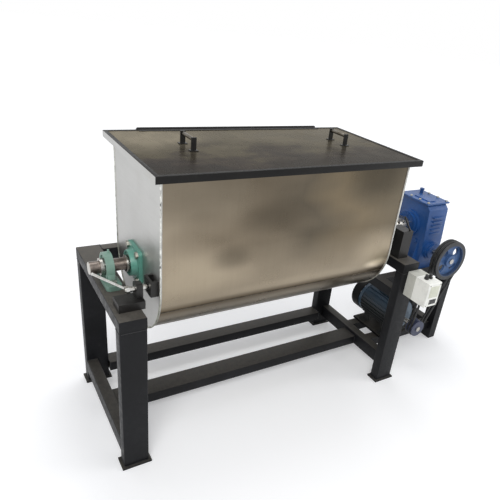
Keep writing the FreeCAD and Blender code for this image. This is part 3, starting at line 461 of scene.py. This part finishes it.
def rubber(name, base):
    """Rubber with a woven-in cord texture and pale dust."""
    material, tree, shader, place = start_material(name)
    grain = noise(tree, place, 700.0, 3.0, 0.6)
    dust = noise(tree, place, 40.0, 5.0, 0.7)
    tone = ramp(tree, dust, [(0.45, base), (0.75, scaled(base, 3.0))])
    dress(tree, shader, tone, spread(tree, dust, 0.6, 0.85), grain, 0.0001)
    return material


def weld_metal(name, base, metallic, bands=None):
    """Rippled weld bead with a heat tint; bands paint shade on it by height."""
    material, tree, shader, place = start_material(name)
    ripple = noise(tree, place, 260.0, 3.0, 0.6)
    tint = noise(tree, place, 45.0, 4.0, 0.6)
    tone = ramp(tree, tint, [(0.35, scaled(base, 0.6)), (0.55, base), (0.75, scaled(base, 1.25))])
    if bands:
        tone = tinted(tree, 1.0, tone, height_band(tree, place, bands))
    dress(tree, shader, tone, spread(tree, ripple, 0.35, 0.6), ripple, 0.0009, 0.8, metallic)
    return material


finishes = {}


def make_finishes():
    c = bpy.context.scene.mixer_colours
    seam_z = trough_seam_height()
    # Trough sheet by height: painted shade below the seam at about 0.65 of its tone, and the seam's own
    # narrow dark line
    sheet_shade_and_seam_bands = [(seam_z - 0.40, (0.62, 0.62, 0.61)), (seam_z - 0.030, (0.68, 0.68, 0.66)),
                   (seam_z - 0.006, (0.40, 0.36, 0.31)), (seam_z + 0.006, (0.44, 0.40, 0.34)),
                   (seam_z + 0.030, 1.0), (seam_z + 0.56, 1.0)]
    # Corner bead by height: painted shade below the shaft, at about 0.6 of its tone
    corner_shade_bands = [(seam_z, (0.55, 0.56, 0.50)), (shaft_z - 0.06, (0.62, 0.63, 0.57)), (shaft_z + 0.02, 1.0),
                    (shaft_z + 0.3, 1.0)]
    motor_blue = tuple(c.motor_blue)
    finishes.update({
        "black_paint": frame_enamel("satin black enamel", tuple(c.frame_black), tuple(c.frame_dust_and_sheen), 0.4),
        "border_black": enamel("satin black border", (0.0095, 0.0090, 0.0085), 0.42, 0.1, 0.15, 0.15),
        "stainless": sheet_steel("rolled stainless sheet", tuple(c.trough_steel), (1.0, 0.02, 0.02),
                                 0.26, 0.32, 0.16, 0.95, sheet_shade_and_seam_bands, (0.85, 1.0, 1.6), 0.15),
        "end_plate": sheet_steel("end plate stainless", tuple(c.end_steel), (0.02, 0.02, 1.0),
                                 0.34, 0.46, 0.10, 0.94, mark_share=0.3),
        "lid_steel": polished_lid("polished lid sheet", tuple(c.lid_reflection_dark), tuple(c.lid_reflection_pale)),
        "ribbon_steel": sheet_steel("ribbon steel", (0.46, 0.43, 0.39), (1.0, 0.1, 0.1), 0.3, 0.5),
        "green_cast": enamel("green bearing enamel", tuple(c.bearing_green), 0.30, 0.7),
        "green_dusty": enamel("dusty green enamel", tuple(c.dusty_green), 0.42, 0.7, 0.5),
        "blue_cast": enamel("blue reducer enamel", tuple(c.reducer_blue), 0.34, 0.7, 0.3),
        "motor_paint": enamel("blue-grey motor enamel", motor_blue, 0.38, 0.5),
        "motor_painted_shade": painted_shade_enamel("motor enamel with painted shade", motor_blue, tuple(c.motor_painted_shade), 0.45),
        "pulley_blue": pulley_enamel("belt pulley enamel", (0.05, 0.11, 0.25), (0.030, 0.031, 0.033)),
        "small_pulley_blue": enamel("worn small pulley enamel", (0.032, 0.040, 0.078), 0.4, 0.4, 0.4),
        "cowl_black": enamel("fan cowl black", (0.007, 0.007, 0.007), 0.5, 0.1, 0.2, 0.15),
        "bright_steel": turned_steel("bright lever steel", (0.62, 0.62, 0.60), 0.16),
        "grip_steel": turned_steel("dull grip steel", (0.17, 0.155, 0.130), 0.32, (0.05, 1.0, 0.05)),
        "shaft_steel": turned_steel("turned shaft steel", (0.48, 0.47, 0.45), 0.26),
        "main_shaft_steel": worn_shaft("worn shaft steel", (0.20, 0.170, 0.150), (0.52, 0.50, 0.46)),
        "dark_steel": enamel("dark oiled steel", (0.018, 0.017, 0.016), 0.36, 0.2, 0.3, metallic=0.4),
        "zinc": turned_steel("zinc plated fastener", (0.48, 0.48, 0.44), 0.34, (1.0, 1.0, 1.0)),
        "belt_rubber": rubber("belt rubber", (0.012, 0.012, 0.012)),
        "seal_rubber": rubber("seal rubber", (0.02, 0.02, 0.02)),
        "box_white": plastic("white control box plastic", tuple(c.box_white), 0.42),
        "box_grey": plastic("grey control box plastic", tuple(c.box_grey), 0.5),
        "panel_pale": plastic("pale switch panel", (0.70, 0.71, 0.58), 0.35),
        "button_dark": plastic("dark button plastic", (0.02, 0.02, 0.02), 0.25),
        "gland_black": plastic("black gland plastic", (0.015, 0.015, 0.015), 0.45),
        "stainless_weld": weld_metal("stainless weld", (0.34, 0.31, 0.27), 1.0),
        "seam_bright": weld_metal("bright corner seam", (0.70, 0.70, 0.66), 1.0, corner_shade_bands),
        "seam_dark": weld_metal("dark sheet seam", (0.10, 0.085, 0.065), 1.0),
        "painted_weld": weld_metal("painted weld", tuple(c.frame_black), 0.0),
    })


def finish_nodes():
    """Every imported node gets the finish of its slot, and some get their own."""
    own = {
        "trough_end_left": "end_plate",
        "trough_end_right": "end_plate",
        "outer_ribbon_left": "ribbon_steel",
        "outer_ribbon_right": "ribbon_steel",
        "inner_ribbons": "ribbon_steel",
        "ribbon_arms": "ribbon_steel",
        "motor_body": "motor_painted_shade",
        "main_shaft": "main_shaft_steel",
        "large_pulley": "pulley_blue",
        "motor_pulley": "small_pulley_blue",
        "hinge_leaf_lid": "border_black",
        "hinge_leaf_trough": "border_black",
        "hinge_pin": "border_black",
    }
    for name, node in nodes.items():
        material = finishes[own.get(name, slot_of_node[name])]
        if not node.material_slots:
            node.data.materials.append(material)
        for index in range(len(node.material_slots)):
            node.material_slots[index].material = material


# Making pieces


def finish_piece(name, bm, body, finish, smooth=35.0, recalculate=True):
    if recalculate:
        bmesh.ops.recalc_face_normals(bm, faces=bm.faces)
    mesh = bpy.data.meshes.new(name)
    bm.to_mesh(mesh)
    bm.free()
    piece = bpy.data.objects.new(name, mesh)
    bpy.context.scene.collection.objects.link(piece)
    mesh.materials.append(finishes[finish])
    if smooth:
        mesh.shade_smooth()
        mesh.set_sharp_from_angle(angle=math.radians(smooth))
    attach(piece, body)
    return piece


def add_block(bm, low, high, round_size):
    """Box between two corners, with its edges rounded."""
    low = Vector(low)
    high = Vector(high)
    size = high - low
    place = Matrix.Translation((low + high) / 2) @ Matrix.Diagonal((*size, 1.0))
    made = bmesh.ops.create_cube(bm, size=1.0, matrix=place)
    edges = list({e for v in made["verts"] for e in v.link_edges})
    bmesh.ops.bevel(bm, geom=edges, offset=round_size, segments=2, affect="EDGES", profile=0.5, material=-1)


def turn_to(axis):
    return Vector((0, 0, 1)).rotation_difference(Vector(axis).normalized()).to_matrix().to_4x4()


def add_disc(bm, start, axis, length, radius, round_size, sides, inner=0.0):
    """Turned disc or ring from start along axis, with rounded outer edges."""
    axis = Vector(axis).normalized()
    before = set(bm.verts)
    cut = round_size * 0.3
    outline = [(inner, 0.0), (radius - round_size, 0.0), (radius - cut, cut), (radius, round_size),
               (radius, length - round_size), (radius - cut, length - cut), (radius - round_size, length),
               (inner, length)]
    ring = [bm.verts.new((r, 0.0, z)) for r, z in outline]
    edges = [bm.edges.new((ring[i], ring[i + 1])) for i in range(len(ring) - 1)]
    if inner > 0:
        edges.append(bm.edges.new((ring[-1], ring[0])))
    bmesh.ops.spin(bm, geom=ring + edges, cent=(0, 0, 0), axis=(0, 0, 1), angle=math.tau, steps=sides,
                   use_merge=True)
    new = [v for v in bm.verts if v not in before]
    bmesh.ops.remove_doubles(bm, verts=new, dist=1e-6)
    new = [v for v in bm.verts if v not in before]
    bmesh.ops.transform(bm, matrix=Matrix.Translation(Vector(start)) @ turn_to(axis), verts=new)


def add_hex(bm, start, axis, length, across):
    """Hexagonal head with a domed, chamfered top."""
    axis = Vector(axis).normalized()
    radius = across / math.sqrt(3)
    place = Matrix.Translation(Vector(start) + axis * length / 2) @ turn_to(axis)
    made = bmesh.ops.create_cone(bm, cap_ends=True, segments=6, radius1=radius, radius2=radius, depth=length,
                                 matrix=place)
    tops = []
    for face in {f for v in made["verts"] for f in v.link_faces}:
        if len(face.verts) == 6 and (face.calc_center_median() - Vector(start)).dot(axis) > length * 0.9:
            tops.append(face)
    edges = list({e for f in tops for e in f.edges})
    bmesh.ops.bevel(bm, geom=edges, offset=across * 0.07, segments=2, affect="EDGES", profile=0.5,
                    material=-1)


def add_run(bm, path, radius, sides=8, closed=False, ripple=0.0):
    """Round bead swept along a path of points, with its ends closed."""
    points = [Vector(p) for p in path]
    count = len(points)
    first = edges = previous = None
    for i, point in enumerate(points):
        ahead = points[(i + 1) % count] if closed or i < count - 1 else point
        behind = points[i - 1] if closed or i > 0 else point
        tangent = (ahead - behind).normalized()
        swell = 1.0 + ripple * math.sin(i * 2.3)
        place = Matrix.Translation(point) @ turn_to(tangent) @ Matrix.Diagonal((swell, swell, 1.0, 1.0))
        if first is None:
            made = bmesh.ops.create_circle(bm, cap_ends=False, segments=sides, radius=radius, matrix=place)
            edges = list({e for v in made["verts"] for e in v.link_edges})
            first = list(edges)
            previous = place
            continue
        grown = bmesh.ops.extrude_edge_only(bm, edges=edges)
        verts = [g for g in grown["geom"] if isinstance(g, bmesh.types.BMVert)]
        bmesh.ops.transform(bm, matrix=place @ previous.inverted(), verts=verts)
        ring_verts = set(verts)
        edges = [g for g in grown["geom"]
                 if isinstance(g, bmesh.types.BMEdge) and ring_verts.issuperset(g.verts)]
        previous = place
    if closed:
        bmesh.ops.bridge_loops(bm, edges=edges + first)
    else:
        bmesh.ops.edgeloop_fill(bm, edges=first)
        bmesh.ops.edgeloop_fill(bm, edges=edges)


def bead(bm, start, end, radius):
    """Straight weld bead between two points."""
    add_run(bm, straight(start, end), radius, 6, ripple=0.2)


def straight(start, end, step=0.006):
    start = Vector(start)
    end = Vector(end)
    count = max(2, int((end - start).length / step))
    return [start.lerp(end, i / count) for i in range(count + 1)]


def trough_outline(x, radius, top, step=0.008):
    """Points down the front wall, round the bottom and up the back wall."""
    points = straight((x, shaft_y - radius, top), (x, shaft_y - radius, shaft_z), step)
    count = int(math.pi * radius / step)
    for i in range(1, count):
        angle = math.pi + math.pi * i / count
        points.append(Vector((x, shaft_y + radius * math.cos(angle), shaft_z + radius * math.sin(angle))))
    points.extend(straight((x, shaft_y + radius, shaft_z), (x, shaft_y + radius, top), step))
    return points


def rounded_copy(node, name, size, finish, segments=2):
    """The node's own shape with rounded edges, shown in place of the node."""
    bm = bmesh.new()
    bm.from_mesh(nodes[node].data)
    bmesh.ops.remove_doubles(bm, verts=bm.verts, dist=1e-6)
    bmesh.ops.dissolve_limit(bm, angle_limit=math.radians(1.0), verts=bm.verts, edges=bm.edges)
    piece = finish_piece(name, bm, nodes[node]["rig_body"], finish, smooth=0.0,
                         recalculate=False)
    bevel = piece.modifiers.new("rounding", "BEVEL")
    bevel.width = size
    bevel.segments = segments
    bevel.limit_method = "ANGLE"
    bevel.angle_limit = math.radians(32.0)
    bevel.harden_normals = False
    piece.data.shade_smooth()
    piece.data.set_sharp_from_angle(angle=math.radians(50))
    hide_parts(node)
    return piece


class MIXER_OT_finishes(bpy.types.Operator):
    """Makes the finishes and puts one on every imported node"""
    bl_idname = "mixer.finishes"
    bl_label = "Finishes"

    def execute(self, context):
        make_finishes()
        finish_nodes()
        return {"FINISHED"}


class MIXER_OT_trough_welds(bpy.types.Operator):
    """Weld beads and sheet seams of the trough"""
    bl_idname = "mixer.trough_welds"
    bl_label = "Trough welds"

    def execute(self, context):
        sizes = context.scene.mixer_sizes
        low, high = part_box("trough_shell")
        radius = (high.y - low.y) / 2
        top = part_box("trough_rim")[0].z - 0.001
        beads = bmesh.new()
        for x in (low.x - 0.0002, high.x + 0.0002):
            add_run(beads, trough_outline(x, radius + 0.0006, top), sizes.weld_radius, 6, ripple=0.12)
        finish_piece("trough_end_welds", beads, "trough", "stainless_weld", 60.0)

        corner = bmesh.new()
        end_low, end_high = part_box("trough_end_left")
        end_radius = (end_high.y - end_low.y) / 2
        right_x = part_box("trough_end_right")[1].x
        for x, thick in ((end_low.x, sizes.corner_radius), (right_x, sizes.corner_radius * 0.6)):
            add_run(corner, trough_outline(x, end_radius - 0.0006, top, 0.012), thick, 8, ripple=0.06)
        finish_piece("corner_seams", corner, "trough", "seam_bright", smooth=60.0)

        seam = bmesh.new()
        y = shaft_y + radius * math.cos(seam_angle)
        z = trough_seam_height()
        add_run(seam, straight((low.x + 0.004, y, z), (high.x - 0.004, y, z), 0.012), sizes.seam_radius, 6,
                ripple=0.15)
        finish_piece("front_sheet_seam", seam, "trough", "seam_dark", smooth=60.0)
        return {"FINISHED"}


class MIXER_OT_lid_trim(bpy.types.Operator):
    """Painted border of the lid, handle feet and grips"""
    bl_idname = "mixer.lid_trim"
    bl_label = "Lid trim"

    def execute(self, context):
        sizes = context.scene.mixer_sizes
        low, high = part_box("lid_pan")
        width = sizes.lid_border_width
        thick = sizes.lid_border_thick
        border = bmesh.new()
        made = bmesh.ops.create_grid(border, x_segments=1, y_segments=1, size=0.5)
        size = high - low
        place = Matrix.Translation(((low.x + high.x) / 2, (low.y + high.y) / 2, high.z))
        place = place @ Matrix.Diagonal((size.x, size.y, 1.0, 1.0))
        bmesh.ops.transform(border, matrix=place, verts=made["verts"])
        ring = bmesh.ops.inset_region(border, faces=border.faces, use_boundary=True, use_even_offset=True,
                                      thickness=width, depth=0.0)
        middle_faces = [f for f in border.faces if f not in ring["faces"]]
        bmesh.ops.delete(border, geom=middle_faces, context="FACES_ONLY")
        outer = [e for e in border.edges if e.is_boundary and self.is_outer(e, low, high)]
        skirt = bmesh.ops.extrude_edge_only(border, edges=outer)
        down = [g for g in skirt["geom"] if isinstance(g, bmesh.types.BMVert)]
        bmesh.ops.translate(border, vec=(0, 0, low.z - high.z), verts=down)
        bmesh.ops.recalc_face_normals(border, faces=border.faces)
        if sum(f.normal.z for f in border.faces) < 0:
            bmesh.ops.reverse_faces(border, faces=border.faces)
        bmesh.ops.solidify(border, geom=border.faces, thickness=-thick)
        edges = [e for e in border.edges if e.is_manifold and e.calc_face_angle(0) > 1.0]
        bmesh.ops.bevel(border, geom=edges, offset=0.0005, segments=2, affect="EDGES", profile=0.5,
                        material=-1)
        trim = finish_piece("lid_border", border, "lid", "border_black")
        # The border's end faces take the pale end plate steel in place of black: painted light falling on the
        # lid's ends
        trim.data.materials.append(finishes["end_plate"])
        for face in trim.data.polygons:
            if abs(face.normal.x) > 0.9 and face.center.z < high.z:
                face.material_index = 1

        foot_inward, foot_half_wide, foot_half_deep, foot_thick = 0.003, 0.017, 0.011, 0.003
        grip_inset, grip_drop = 0.0065, 0.009
        feet = bmesh.new()
        grips = bmesh.new()
        for side in ("left", "right"):
            h_low, h_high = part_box("lid_handle_" + side)
            x = (h_low.x + h_high.x) / 2
            for y in (h_low.y + foot_inward, h_high.y - foot_inward):
                add_block(feet, (x - foot_half_wide, y - foot_half_deep, high.z),
                          (x + foot_half_wide, y + foot_half_deep, high.z + foot_thick), 0.001)
            grip_start = (x, h_low.y + grip_inset, h_high.z - grip_drop)
            grip_long = h_high.y - h_low.y - 2 * grip_inset
            add_disc(grips, grip_start, (0, 1, 0), grip_long, sizes.grip_radius, 0.0012, 32, inner=0.0059)
        finish_piece("handle_feet", feet, "lid", "dark_steel")
        finish_piece("handle_grips", grips, "lid", "grip_steel")
        return {"FINISHED"}

    def is_outer(self, edge, low, high):
        centre = (edge.verts[0].co + edge.verts[1].co) / 2
        near_x = min(abs(centre.x - low.x), abs(centre.x - high.x)) < 1e-4
        near_y = min(abs(centre.y - low.y), abs(centre.y - high.y)) < 1e-4
        return near_x or near_y


class MIXER_OT_castings(bpy.types.Operator):
    """Rounded castings of the bearings and the reducer"""
    bl_idname = "mixer.castings"
    bl_label = "Castings"

    def execute(self, context):
        size = context.scene.mixer_sizes.cast_round
        for side in ("left", "right"):
            rounded_copy("pillow_block_" + side, "pillow_casting_" + side, size * 0.6, "green_dusty")
            rounded_copy("flange_bearing_" + side, "flange_casting_" + side, size * 0.5, "green_cast")
        rounded_copy("reducer_case", "reducer_casting", size, "blue_cast", segments=3)
        return {"FINISHED"}


class MIXER_OT_frame_tubes(bpy.types.Operator):
    """Frame tube with rolled corners, end caps and weld beads"""
    bl_idname = "mixer.frame_tubes"
    bl_label = "Frame tubes"

    def execute(self, context):
        size = context.scene.mixer_sizes.tube_round
        for name in ("leg_front_left", "leg_front_right", "leg_back_left", "leg_back_right", "end_beam_left",
                     "end_beam_right", "top_rail_back", "lower_rail_middle", "lower_rail_back",
                     "lower_rail_left", "lower_rail_right"):
            self.tube(name, size)
        cap_proud, cap_depth, cap_edge = 0.0002, 0.003, 0.0022
        caps = bmesh.new()
        for side in ("left", "right"):
            low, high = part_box("end_beam_" + side)
            for y0, y1 in ((low.y - cap_proud, low.y + cap_depth), (high.y - cap_depth, high.y + cap_proud)):
                add_block(caps, (low.x + cap_edge, y0, low.z + cap_edge),
                          (high.x - cap_edge, y1, high.z - cap_edge), 0.001)
        finish_piece("beam_end_caps", caps, "frame", "black_paint")
        self.welds(context.scene.mixer_sizes.weld_radius * 1.3)
        return {"FINISHED"}

    def tube(self, node, size):
        """Hollow tube over the node, with rolled outer corners."""
        low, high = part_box(node)
        spans = high - low
        along = max(range(3), key=lambda i: spans[i])
        across = [i for i in range(3) if i != along]
        bm = bmesh.new()
        corners = []
        for a, b in ((0, 0), (1, 0), (1, 1), (0, 1)):
            co = Vector(low)
            co[across[0]] = high[across[0]] if a else low[across[0]]
            co[across[1]] = high[across[1]] if b else low[across[1]]
            corners.append(bm.verts.new(co))
        bm.faces.new(corners)
        bmesh.ops.bevel(bm, geom=list(bm.verts), offset=size, segments=4, affect="VERTICES", profile=0.5,
                        material=-1)
        edges = list(bm.edges)
        bmesh.ops.delete(bm, geom=list(bm.faces), context="FACES_ONLY")
        shift = Vector((0, 0, 0))
        shift[along] = spans[along]
        grown = bmesh.ops.extrude_edge_only(bm, edges=edges)
        verts = [g for g in grown["geom"] if isinstance(g, bmesh.types.BMVert)]
        bmesh.ops.translate(bm, vec=shift, verts=verts)
        bmesh.ops.recalc_face_normals(bm, faces=bm.faces)
        centre = (low + high) / 2
        outward = sum((f.calc_center_median() - centre).dot(f.normal) for f in bm.faces)
        if outward < 0:
            bmesh.ops.reverse_faces(bm, faces=bm.faces)
        bmesh.ops.solidify(bm, geom=list(bm.faces), thickness=0.004)
        piece = finish_piece(node + "_tube", bm, "frame", "black_paint", smooth=40.0)
        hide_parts(node)

    def welds(self, radius):
        """Beads where the tubes meet; short ones stop at the tube's rolled corner."""
        corner = 0.004
        top_corner = 0.005
        bm = bmesh.new()
        middle_low, middle_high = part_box("lower_rail_middle")
        foot_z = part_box("foot_plates")[1].z
        for side in ("left", "right"):
            for end in ("front", "back"):
                low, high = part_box("leg_" + end + "_" + side)
                inner_y, outer_y = (high.y, low.y) if end == "front" else (low.y, high.y)
                for y, inset, size in ((inner_y, corner, 1.0), (outer_y, top_corner, 0.6)):
                    bead(bm, (low.x + inset, y, high.z), (high.x - inset, y, high.z), radius * size)
                for x in (low.x, high.x):
                    bead(bm, (x, low.y + corner, high.z), (x, high.y - corner, high.z), radius * 0.6)
                add_run(bm, [(low.x, low.y, foot_z), (high.x, low.y, foot_z), (high.x, high.y, foot_z),
                             (low.x, high.y, foot_z)], radius, 6, closed=True)
            x = middle_low.x if side == "left" else middle_high.x
            for y in (middle_low.y, middle_high.y):
                bead(bm, (x, y, middle_low.z + corner), (x, y, middle_high.z - corner), radius)
            bead(bm, (x, middle_low.y + corner, middle_high.z),
                 (x, middle_high.y - corner, middle_high.z), radius)
            low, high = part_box("lower_rail_" + side)
            for y in (low.y, high.y):
                for z in (low.z, high.z):
                    bead(bm, (low.x + corner, y, z), (high.x - corner, y, z), radius * 0.8)
        for node in ("lower_rail_back", "top_rail_back"):
            low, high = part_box(node)
            for x in (low.x, high.x):
                bead(bm, (x, low.y, low.z + corner), (x, low.y, high.z - corner), radius)
                bead(bm, (x, low.y + corner, high.z), (x, high.y - corner, high.z), radius * 0.8)
        finish_piece("frame_welds", bm, "frame", "painted_weld", smooth=60.0)


class MIXER_OT_agitator_welds(bpy.types.Operator):
    """Weld beads where the arms meet the shaft"""
    bl_idname = "mixer.agitator_welds"
    bl_label = "Agitator welds"

    def execute(self, context):
        arm_radius = 0.0105
        shaft_radius = 0.025
        steps = 28
        low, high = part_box("outer_ribbon_left")
        pitch = high.x - low.x
        bm = bmesh.new()
        for x in (-(pitch - 0.03), -pitch / 2, -0.03, 0.03, pitch / 2, pitch - 0.03):
            turn = math.tau * abs(x) / pitch
            for angle in (math.pi / 2 + turn, math.pi * 1.5 - turn):
                up_arm = Vector((0, math.cos(angle), math.sin(angle)))
                side = Vector((0, -math.sin(angle), math.cos(angle)))
                root = Vector((trough_x + x, shaft_y, shaft_z))
                ring = []
                for i in range(steps):
                    around = math.tau * i / steps
                    sideways = arm_radius * math.cos(around)
                    rise = math.sqrt(max(0.0, shaft_radius ** 2 - sideways ** 2)) + 0.0004
                    ring.append(root + Vector((arm_radius * math.sin(around), 0, 0)) + side * sideways
                                + up_arm * rise)
                add_run(bm, ring, 0.0016, 6, closed=True)
        finish_piece("arm_welds", bm, "agitator", "stainless_weld", smooth=60.0)
        return {"FINISHED"}


class MIXER_OT_reducer_fittings(bpy.types.Operator):
    """Bolts that hold the reducer's lid"""
    bl_idname = "mixer.reducer_fittings"
    bl_label = "Reducer fittings"

    def execute(self, context):
        from_middle = 0.068
        end_margin = 0.050
        rows = 4
        low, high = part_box("reducer_case")
        centre_x = middle("reducer_case").x
        bolts = bmesh.new()
        for x in (centre_x - from_middle, centre_x + from_middle):
            for k in range(rows):
                y = low.y + end_margin + k * (high.y - low.y - 2 * end_margin) / (rows - 1)
                add_hex(bolts, (x, y, high.z), (0, 0, 1), 0.007, 0.013)
        finish_piece("case_lid_bolts", bolts, "frame", "zinc")
        return {"FINISHED"}


class MIXER_OT_control_box_face(bpy.types.Operator):
    """Bare panel, bezel and screws of the control box"""
    bl_idname = "mixer.control_box_face"
    bl_label = "Control box face"

    def execute(self, context):
        panel_side = 0.012
        panel_half_thick = 0.0012
        screw_inset = 0.008
        bezel_wide = 0.046
        bezel_high = 0.026
        low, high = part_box("control_box_cover")
        face = low.y
        panel = bmesh.new()
        add_block(panel, (low.x + panel_side, face - panel_half_thick, low.z + 0.050),
                  (high.x - panel_side, face + panel_half_thick, high.z - 0.014), 0.0008)
        finish_piece("control_panel_plate", panel, "frame", "panel_pale")
        bezel = bmesh.new()
        made = bmesh.ops.create_grid(bezel, x_segments=1, y_segments=1, size=0.5)
        centre = middle("start_button")
        turn = Euler((math.radians(90), 0, 0)).to_matrix().to_4x4()
        place = Matrix.Translation((centre.x, face - 0.0002, centre.z)) @ turn
        place = place @ Matrix.Diagonal((bezel_wide, bezel_high, 1.0, 1.0))
        bmesh.ops.transform(bezel, matrix=place, verts=made["verts"])
        ring = bmesh.ops.inset_region(bezel, faces=bezel.faces, use_boundary=True, use_even_offset=True,
                                      thickness=0.0058, depth=0.0)
        inner = [f for f in bezel.faces if f not in ring["faces"]]
        bmesh.ops.delete(bezel, geom=inner, context="FACES")
        bmesh.ops.solidify(bezel, geom=bezel.faces, thickness=0.0022)
        finish_piece("button_bezel", bezel, "frame", "button_dark")
        screws = bmesh.new()
        for x in (low.x + screw_inset, high.x - screw_inset):
            for z in (low.z + screw_inset, high.z - screw_inset):
                add_disc(screws, (x, face + 0.0005, z), (0, -1, 0), 0.0016, 0.0034, 0.0004, 20)
        finish_piece("cover_screws", screws, "frame", "zinc")
        return {"FINISHED"}


class MIXER_OT_stage(bpy.types.Operator):
    """Plain pale floor and surround, soft lights and the camera"""
    bl_idname = "mixer.stage"
    bl_label = "Stage"

    def execute(self, context):
        scene = context.scene
        size = scene.mixer_sizes.stage_size
        below_feet = 0.0005
        bm = bmesh.new()
        bmesh.ops.create_grid(bm, x_segments=1, y_segments=1, size=size / 2)
        bmesh.ops.translate(bm, vec=(0, 0, -below_feet), verts=bm.verts)
        mesh = bpy.data.meshes.new("plain_floor")
        bm.to_mesh(mesh)
        bm.free()
        floor = bpy.data.objects.new("plain_floor", mesh)
        scene.collection.objects.link(floor)
        mesh.materials.append(self.floor_material())
        self.world(scene)
        self.lamp("key_light", (-2.6, -3.2, 4.2), (0.0, 0.0, 0.7), 2.6, 120.0)
        self.lamp("side_light", (4.2, -2.4, 2.6), (0.0, 0.0, 0.7), 2.4, 46.0)
        self.lamp("top_light", (0.5, 1.4, 4.8), (0.0, 0.0, 0.9), 2.6, 60.0)
        self.camera(scene)
        return {"FINISHED"}

    def floor_material(self):
        material = bpy.data.materials.new("pale floor")
        material.use_nodes = True
        tree = material.node_tree
        shader = tree.nodes["Principled BSDF"]
        shader.inputs["Base Color"].default_value = (0.88, 0.88, 0.88, 1.0)
        shader.inputs["Roughness"].default_value = 0.95
        glow = tree.nodes.new("ShaderNodeEmission")
        glow.inputs["Color"].default_value = (1.0, 1.0, 1.0, 1.0)
        place = tree.nodes.new("ShaderNodeTexCoord")
        reach = vector_maths(tree, "LENGTH", place.outputs["Object"])
        strength = maths(tree, "MULTIPLY", self.seen_rays(tree), rescale(tree, reach, 1.0, 6.0, 0.22, 0.62))
        tree.links.new(strength, glow.inputs["Strength"])
        both = tree.nodes.new("ShaderNodeAddShader")
        tree.links.new(shader.outputs["BSDF"], both.inputs[0])
        tree.links.new(glow.outputs["Emission"], both.inputs[1])
        tree.links.new(both.outputs["Shader"], tree.nodes["Material Output"].inputs["Surface"])
        return material

    def seen_rays(self, tree):
        """1 for rays that show the background: from the camera, off gloss and through glass."""
        path = tree.nodes.new("ShaderNodeLightPath")
        either = maths(tree, "MAXIMUM", path.outputs["Is Camera Ray"], path.outputs["Is Glossy Ray"])
        return maths(tree, "MAXIMUM", either, path.outputs["Is Transmission Ray"])

    def world(self, scene):
        world = bpy.data.worlds.new("pale surround")
        scene.world = world
        world.use_nodes = True
        tree = world.node_tree
        tree.nodes.clear()
        out = tree.nodes.new("ShaderNodeOutputWorld")
        mix = tree.nodes.new("ShaderNodeMixShader")
        tree.links.new(self.seen_rays(tree), mix.inputs["Fac"])
        unseen_light = ((0.93, 0.95, 1.0, 1.0), 0.55)
        seen_white = ((1.0, 1.0, 1.0, 1.0), 1.0)
        for index, (tone, strength) in ((1, unseen_light), (2, seen_white)):
            background = tree.nodes.new("ShaderNodeBackground")
            background.inputs["Color"].default_value = tone
            background.inputs["Strength"].default_value = strength
            tree.links.new(background.outputs[0], mix.inputs[index])
        tree.links.new(mix.outputs[0], out.inputs["Surface"])

    def lamp(self, name, place, target, size, power):
        data = bpy.data.lights.new(name, "AREA")
        data.shape = "DISK"
        data.size = size
        data.energy = power
        lamp = bpy.data.objects.new(name, data)
        lamp.location = place
        aim = Vector(target) - Vector(place)
        lamp.rotation_euler = aim.to_track_quat("-Z", "Y").to_euler()
        bpy.context.scene.collection.objects.link(lamp)

    def camera(self, scene):
        data = bpy.data.cameras.new("photo_camera")
        data.sensor_width = 36.0
        data.sensor_fit = "HORIZONTAL"
        data.lens = 36.648
        data.shift_x = -0.060
        data.shift_y = 0.058
        camera = bpy.data.objects.new("photo_camera", data)
        scene.collection.objects.link(camera)
        right = Vector((0.8469, -0.5202, 0.1124)).normalized()
        forward = Vector((0.5071, 0.7254, -0.4651)).normalized()
        up = right.cross(forward).normalized()
        turn = Matrix((right, up, -forward)).transposed().to_4x4()
        place = Vector((-1.376, -1.72675, 1.701))
        camera.matrix_world = Matrix.Translation(place) @ turn
        scene.camera = camera
        scene.view_settings.view_transform = "Standard"


piece_operators = (
    MIXER_OT_finishes,
    MIXER_OT_trough_welds,
    MIXER_OT_lid_trim,
    MIXER_OT_castings,
    MIXER_OT_frame_tubes,
    MIXER_OT_agitator_welds,
    MIXER_OT_reducer_fittings,
    MIXER_OT_control_box_face,
    MIXER_OT_stage,
)


class MIXER_PT_panel(bpy.types.Panel):
    """Lists the steps that dress the mixer"""
    bl_idname = "MIXER_PT_panel"
    bl_label = "Trough mixer"
    bl_space_type = "VIEW_3D"
    bl_region_type = "UI"
    bl_category = "Mixer"

    def draw(self, context):
        layout = self.layout
        sizes = context.scene.mixer_sizes
        colours = context.scene.mixer_colours
        for group in (sizes, colours):
            column = layout.column(align=True)
            for name in group.bl_rna.properties.keys():
                if name not in {"rna_type", "name"}:
                    column.prop(group, name)
        for operator in piece_operators:
            layout.operator(operator.bl_idname)


classes = (MixerSizes, MixerColours) + piece_operators + (MIXER_PT_panel,)


def register():
    for cls in classes:
        bpy.utils.register_class(cls)
    bpy.types.Scene.mixer_sizes = bpy.props.PointerProperty(type=MixerSizes)
    bpy.types.Scene.mixer_colours = bpy.props.PointerProperty(type=MixerColours)


def unregister():
    del bpy.types.Scene.mixer_colours
    del bpy.types.Scene.mixer_sizes
    for cls in reversed(classes):
        bpy.utils.unregister_class(cls)


def main():
    register()
    bpy.ops.mixer.finishes()
    bpy.ops.mixer.trough_welds()
    bpy.ops.mixer.lid_trim()
    bpy.ops.mixer.castings()
    bpy.ops.mixer.frame_tubes()
    bpy.ops.mixer.agitator_welds()
    bpy.ops.mixer.reducer_fittings()
    bpy.ops.mixer.control_box_face()
    bpy.ops.mixer.stage()


if __name__ == "__main__":
    main()
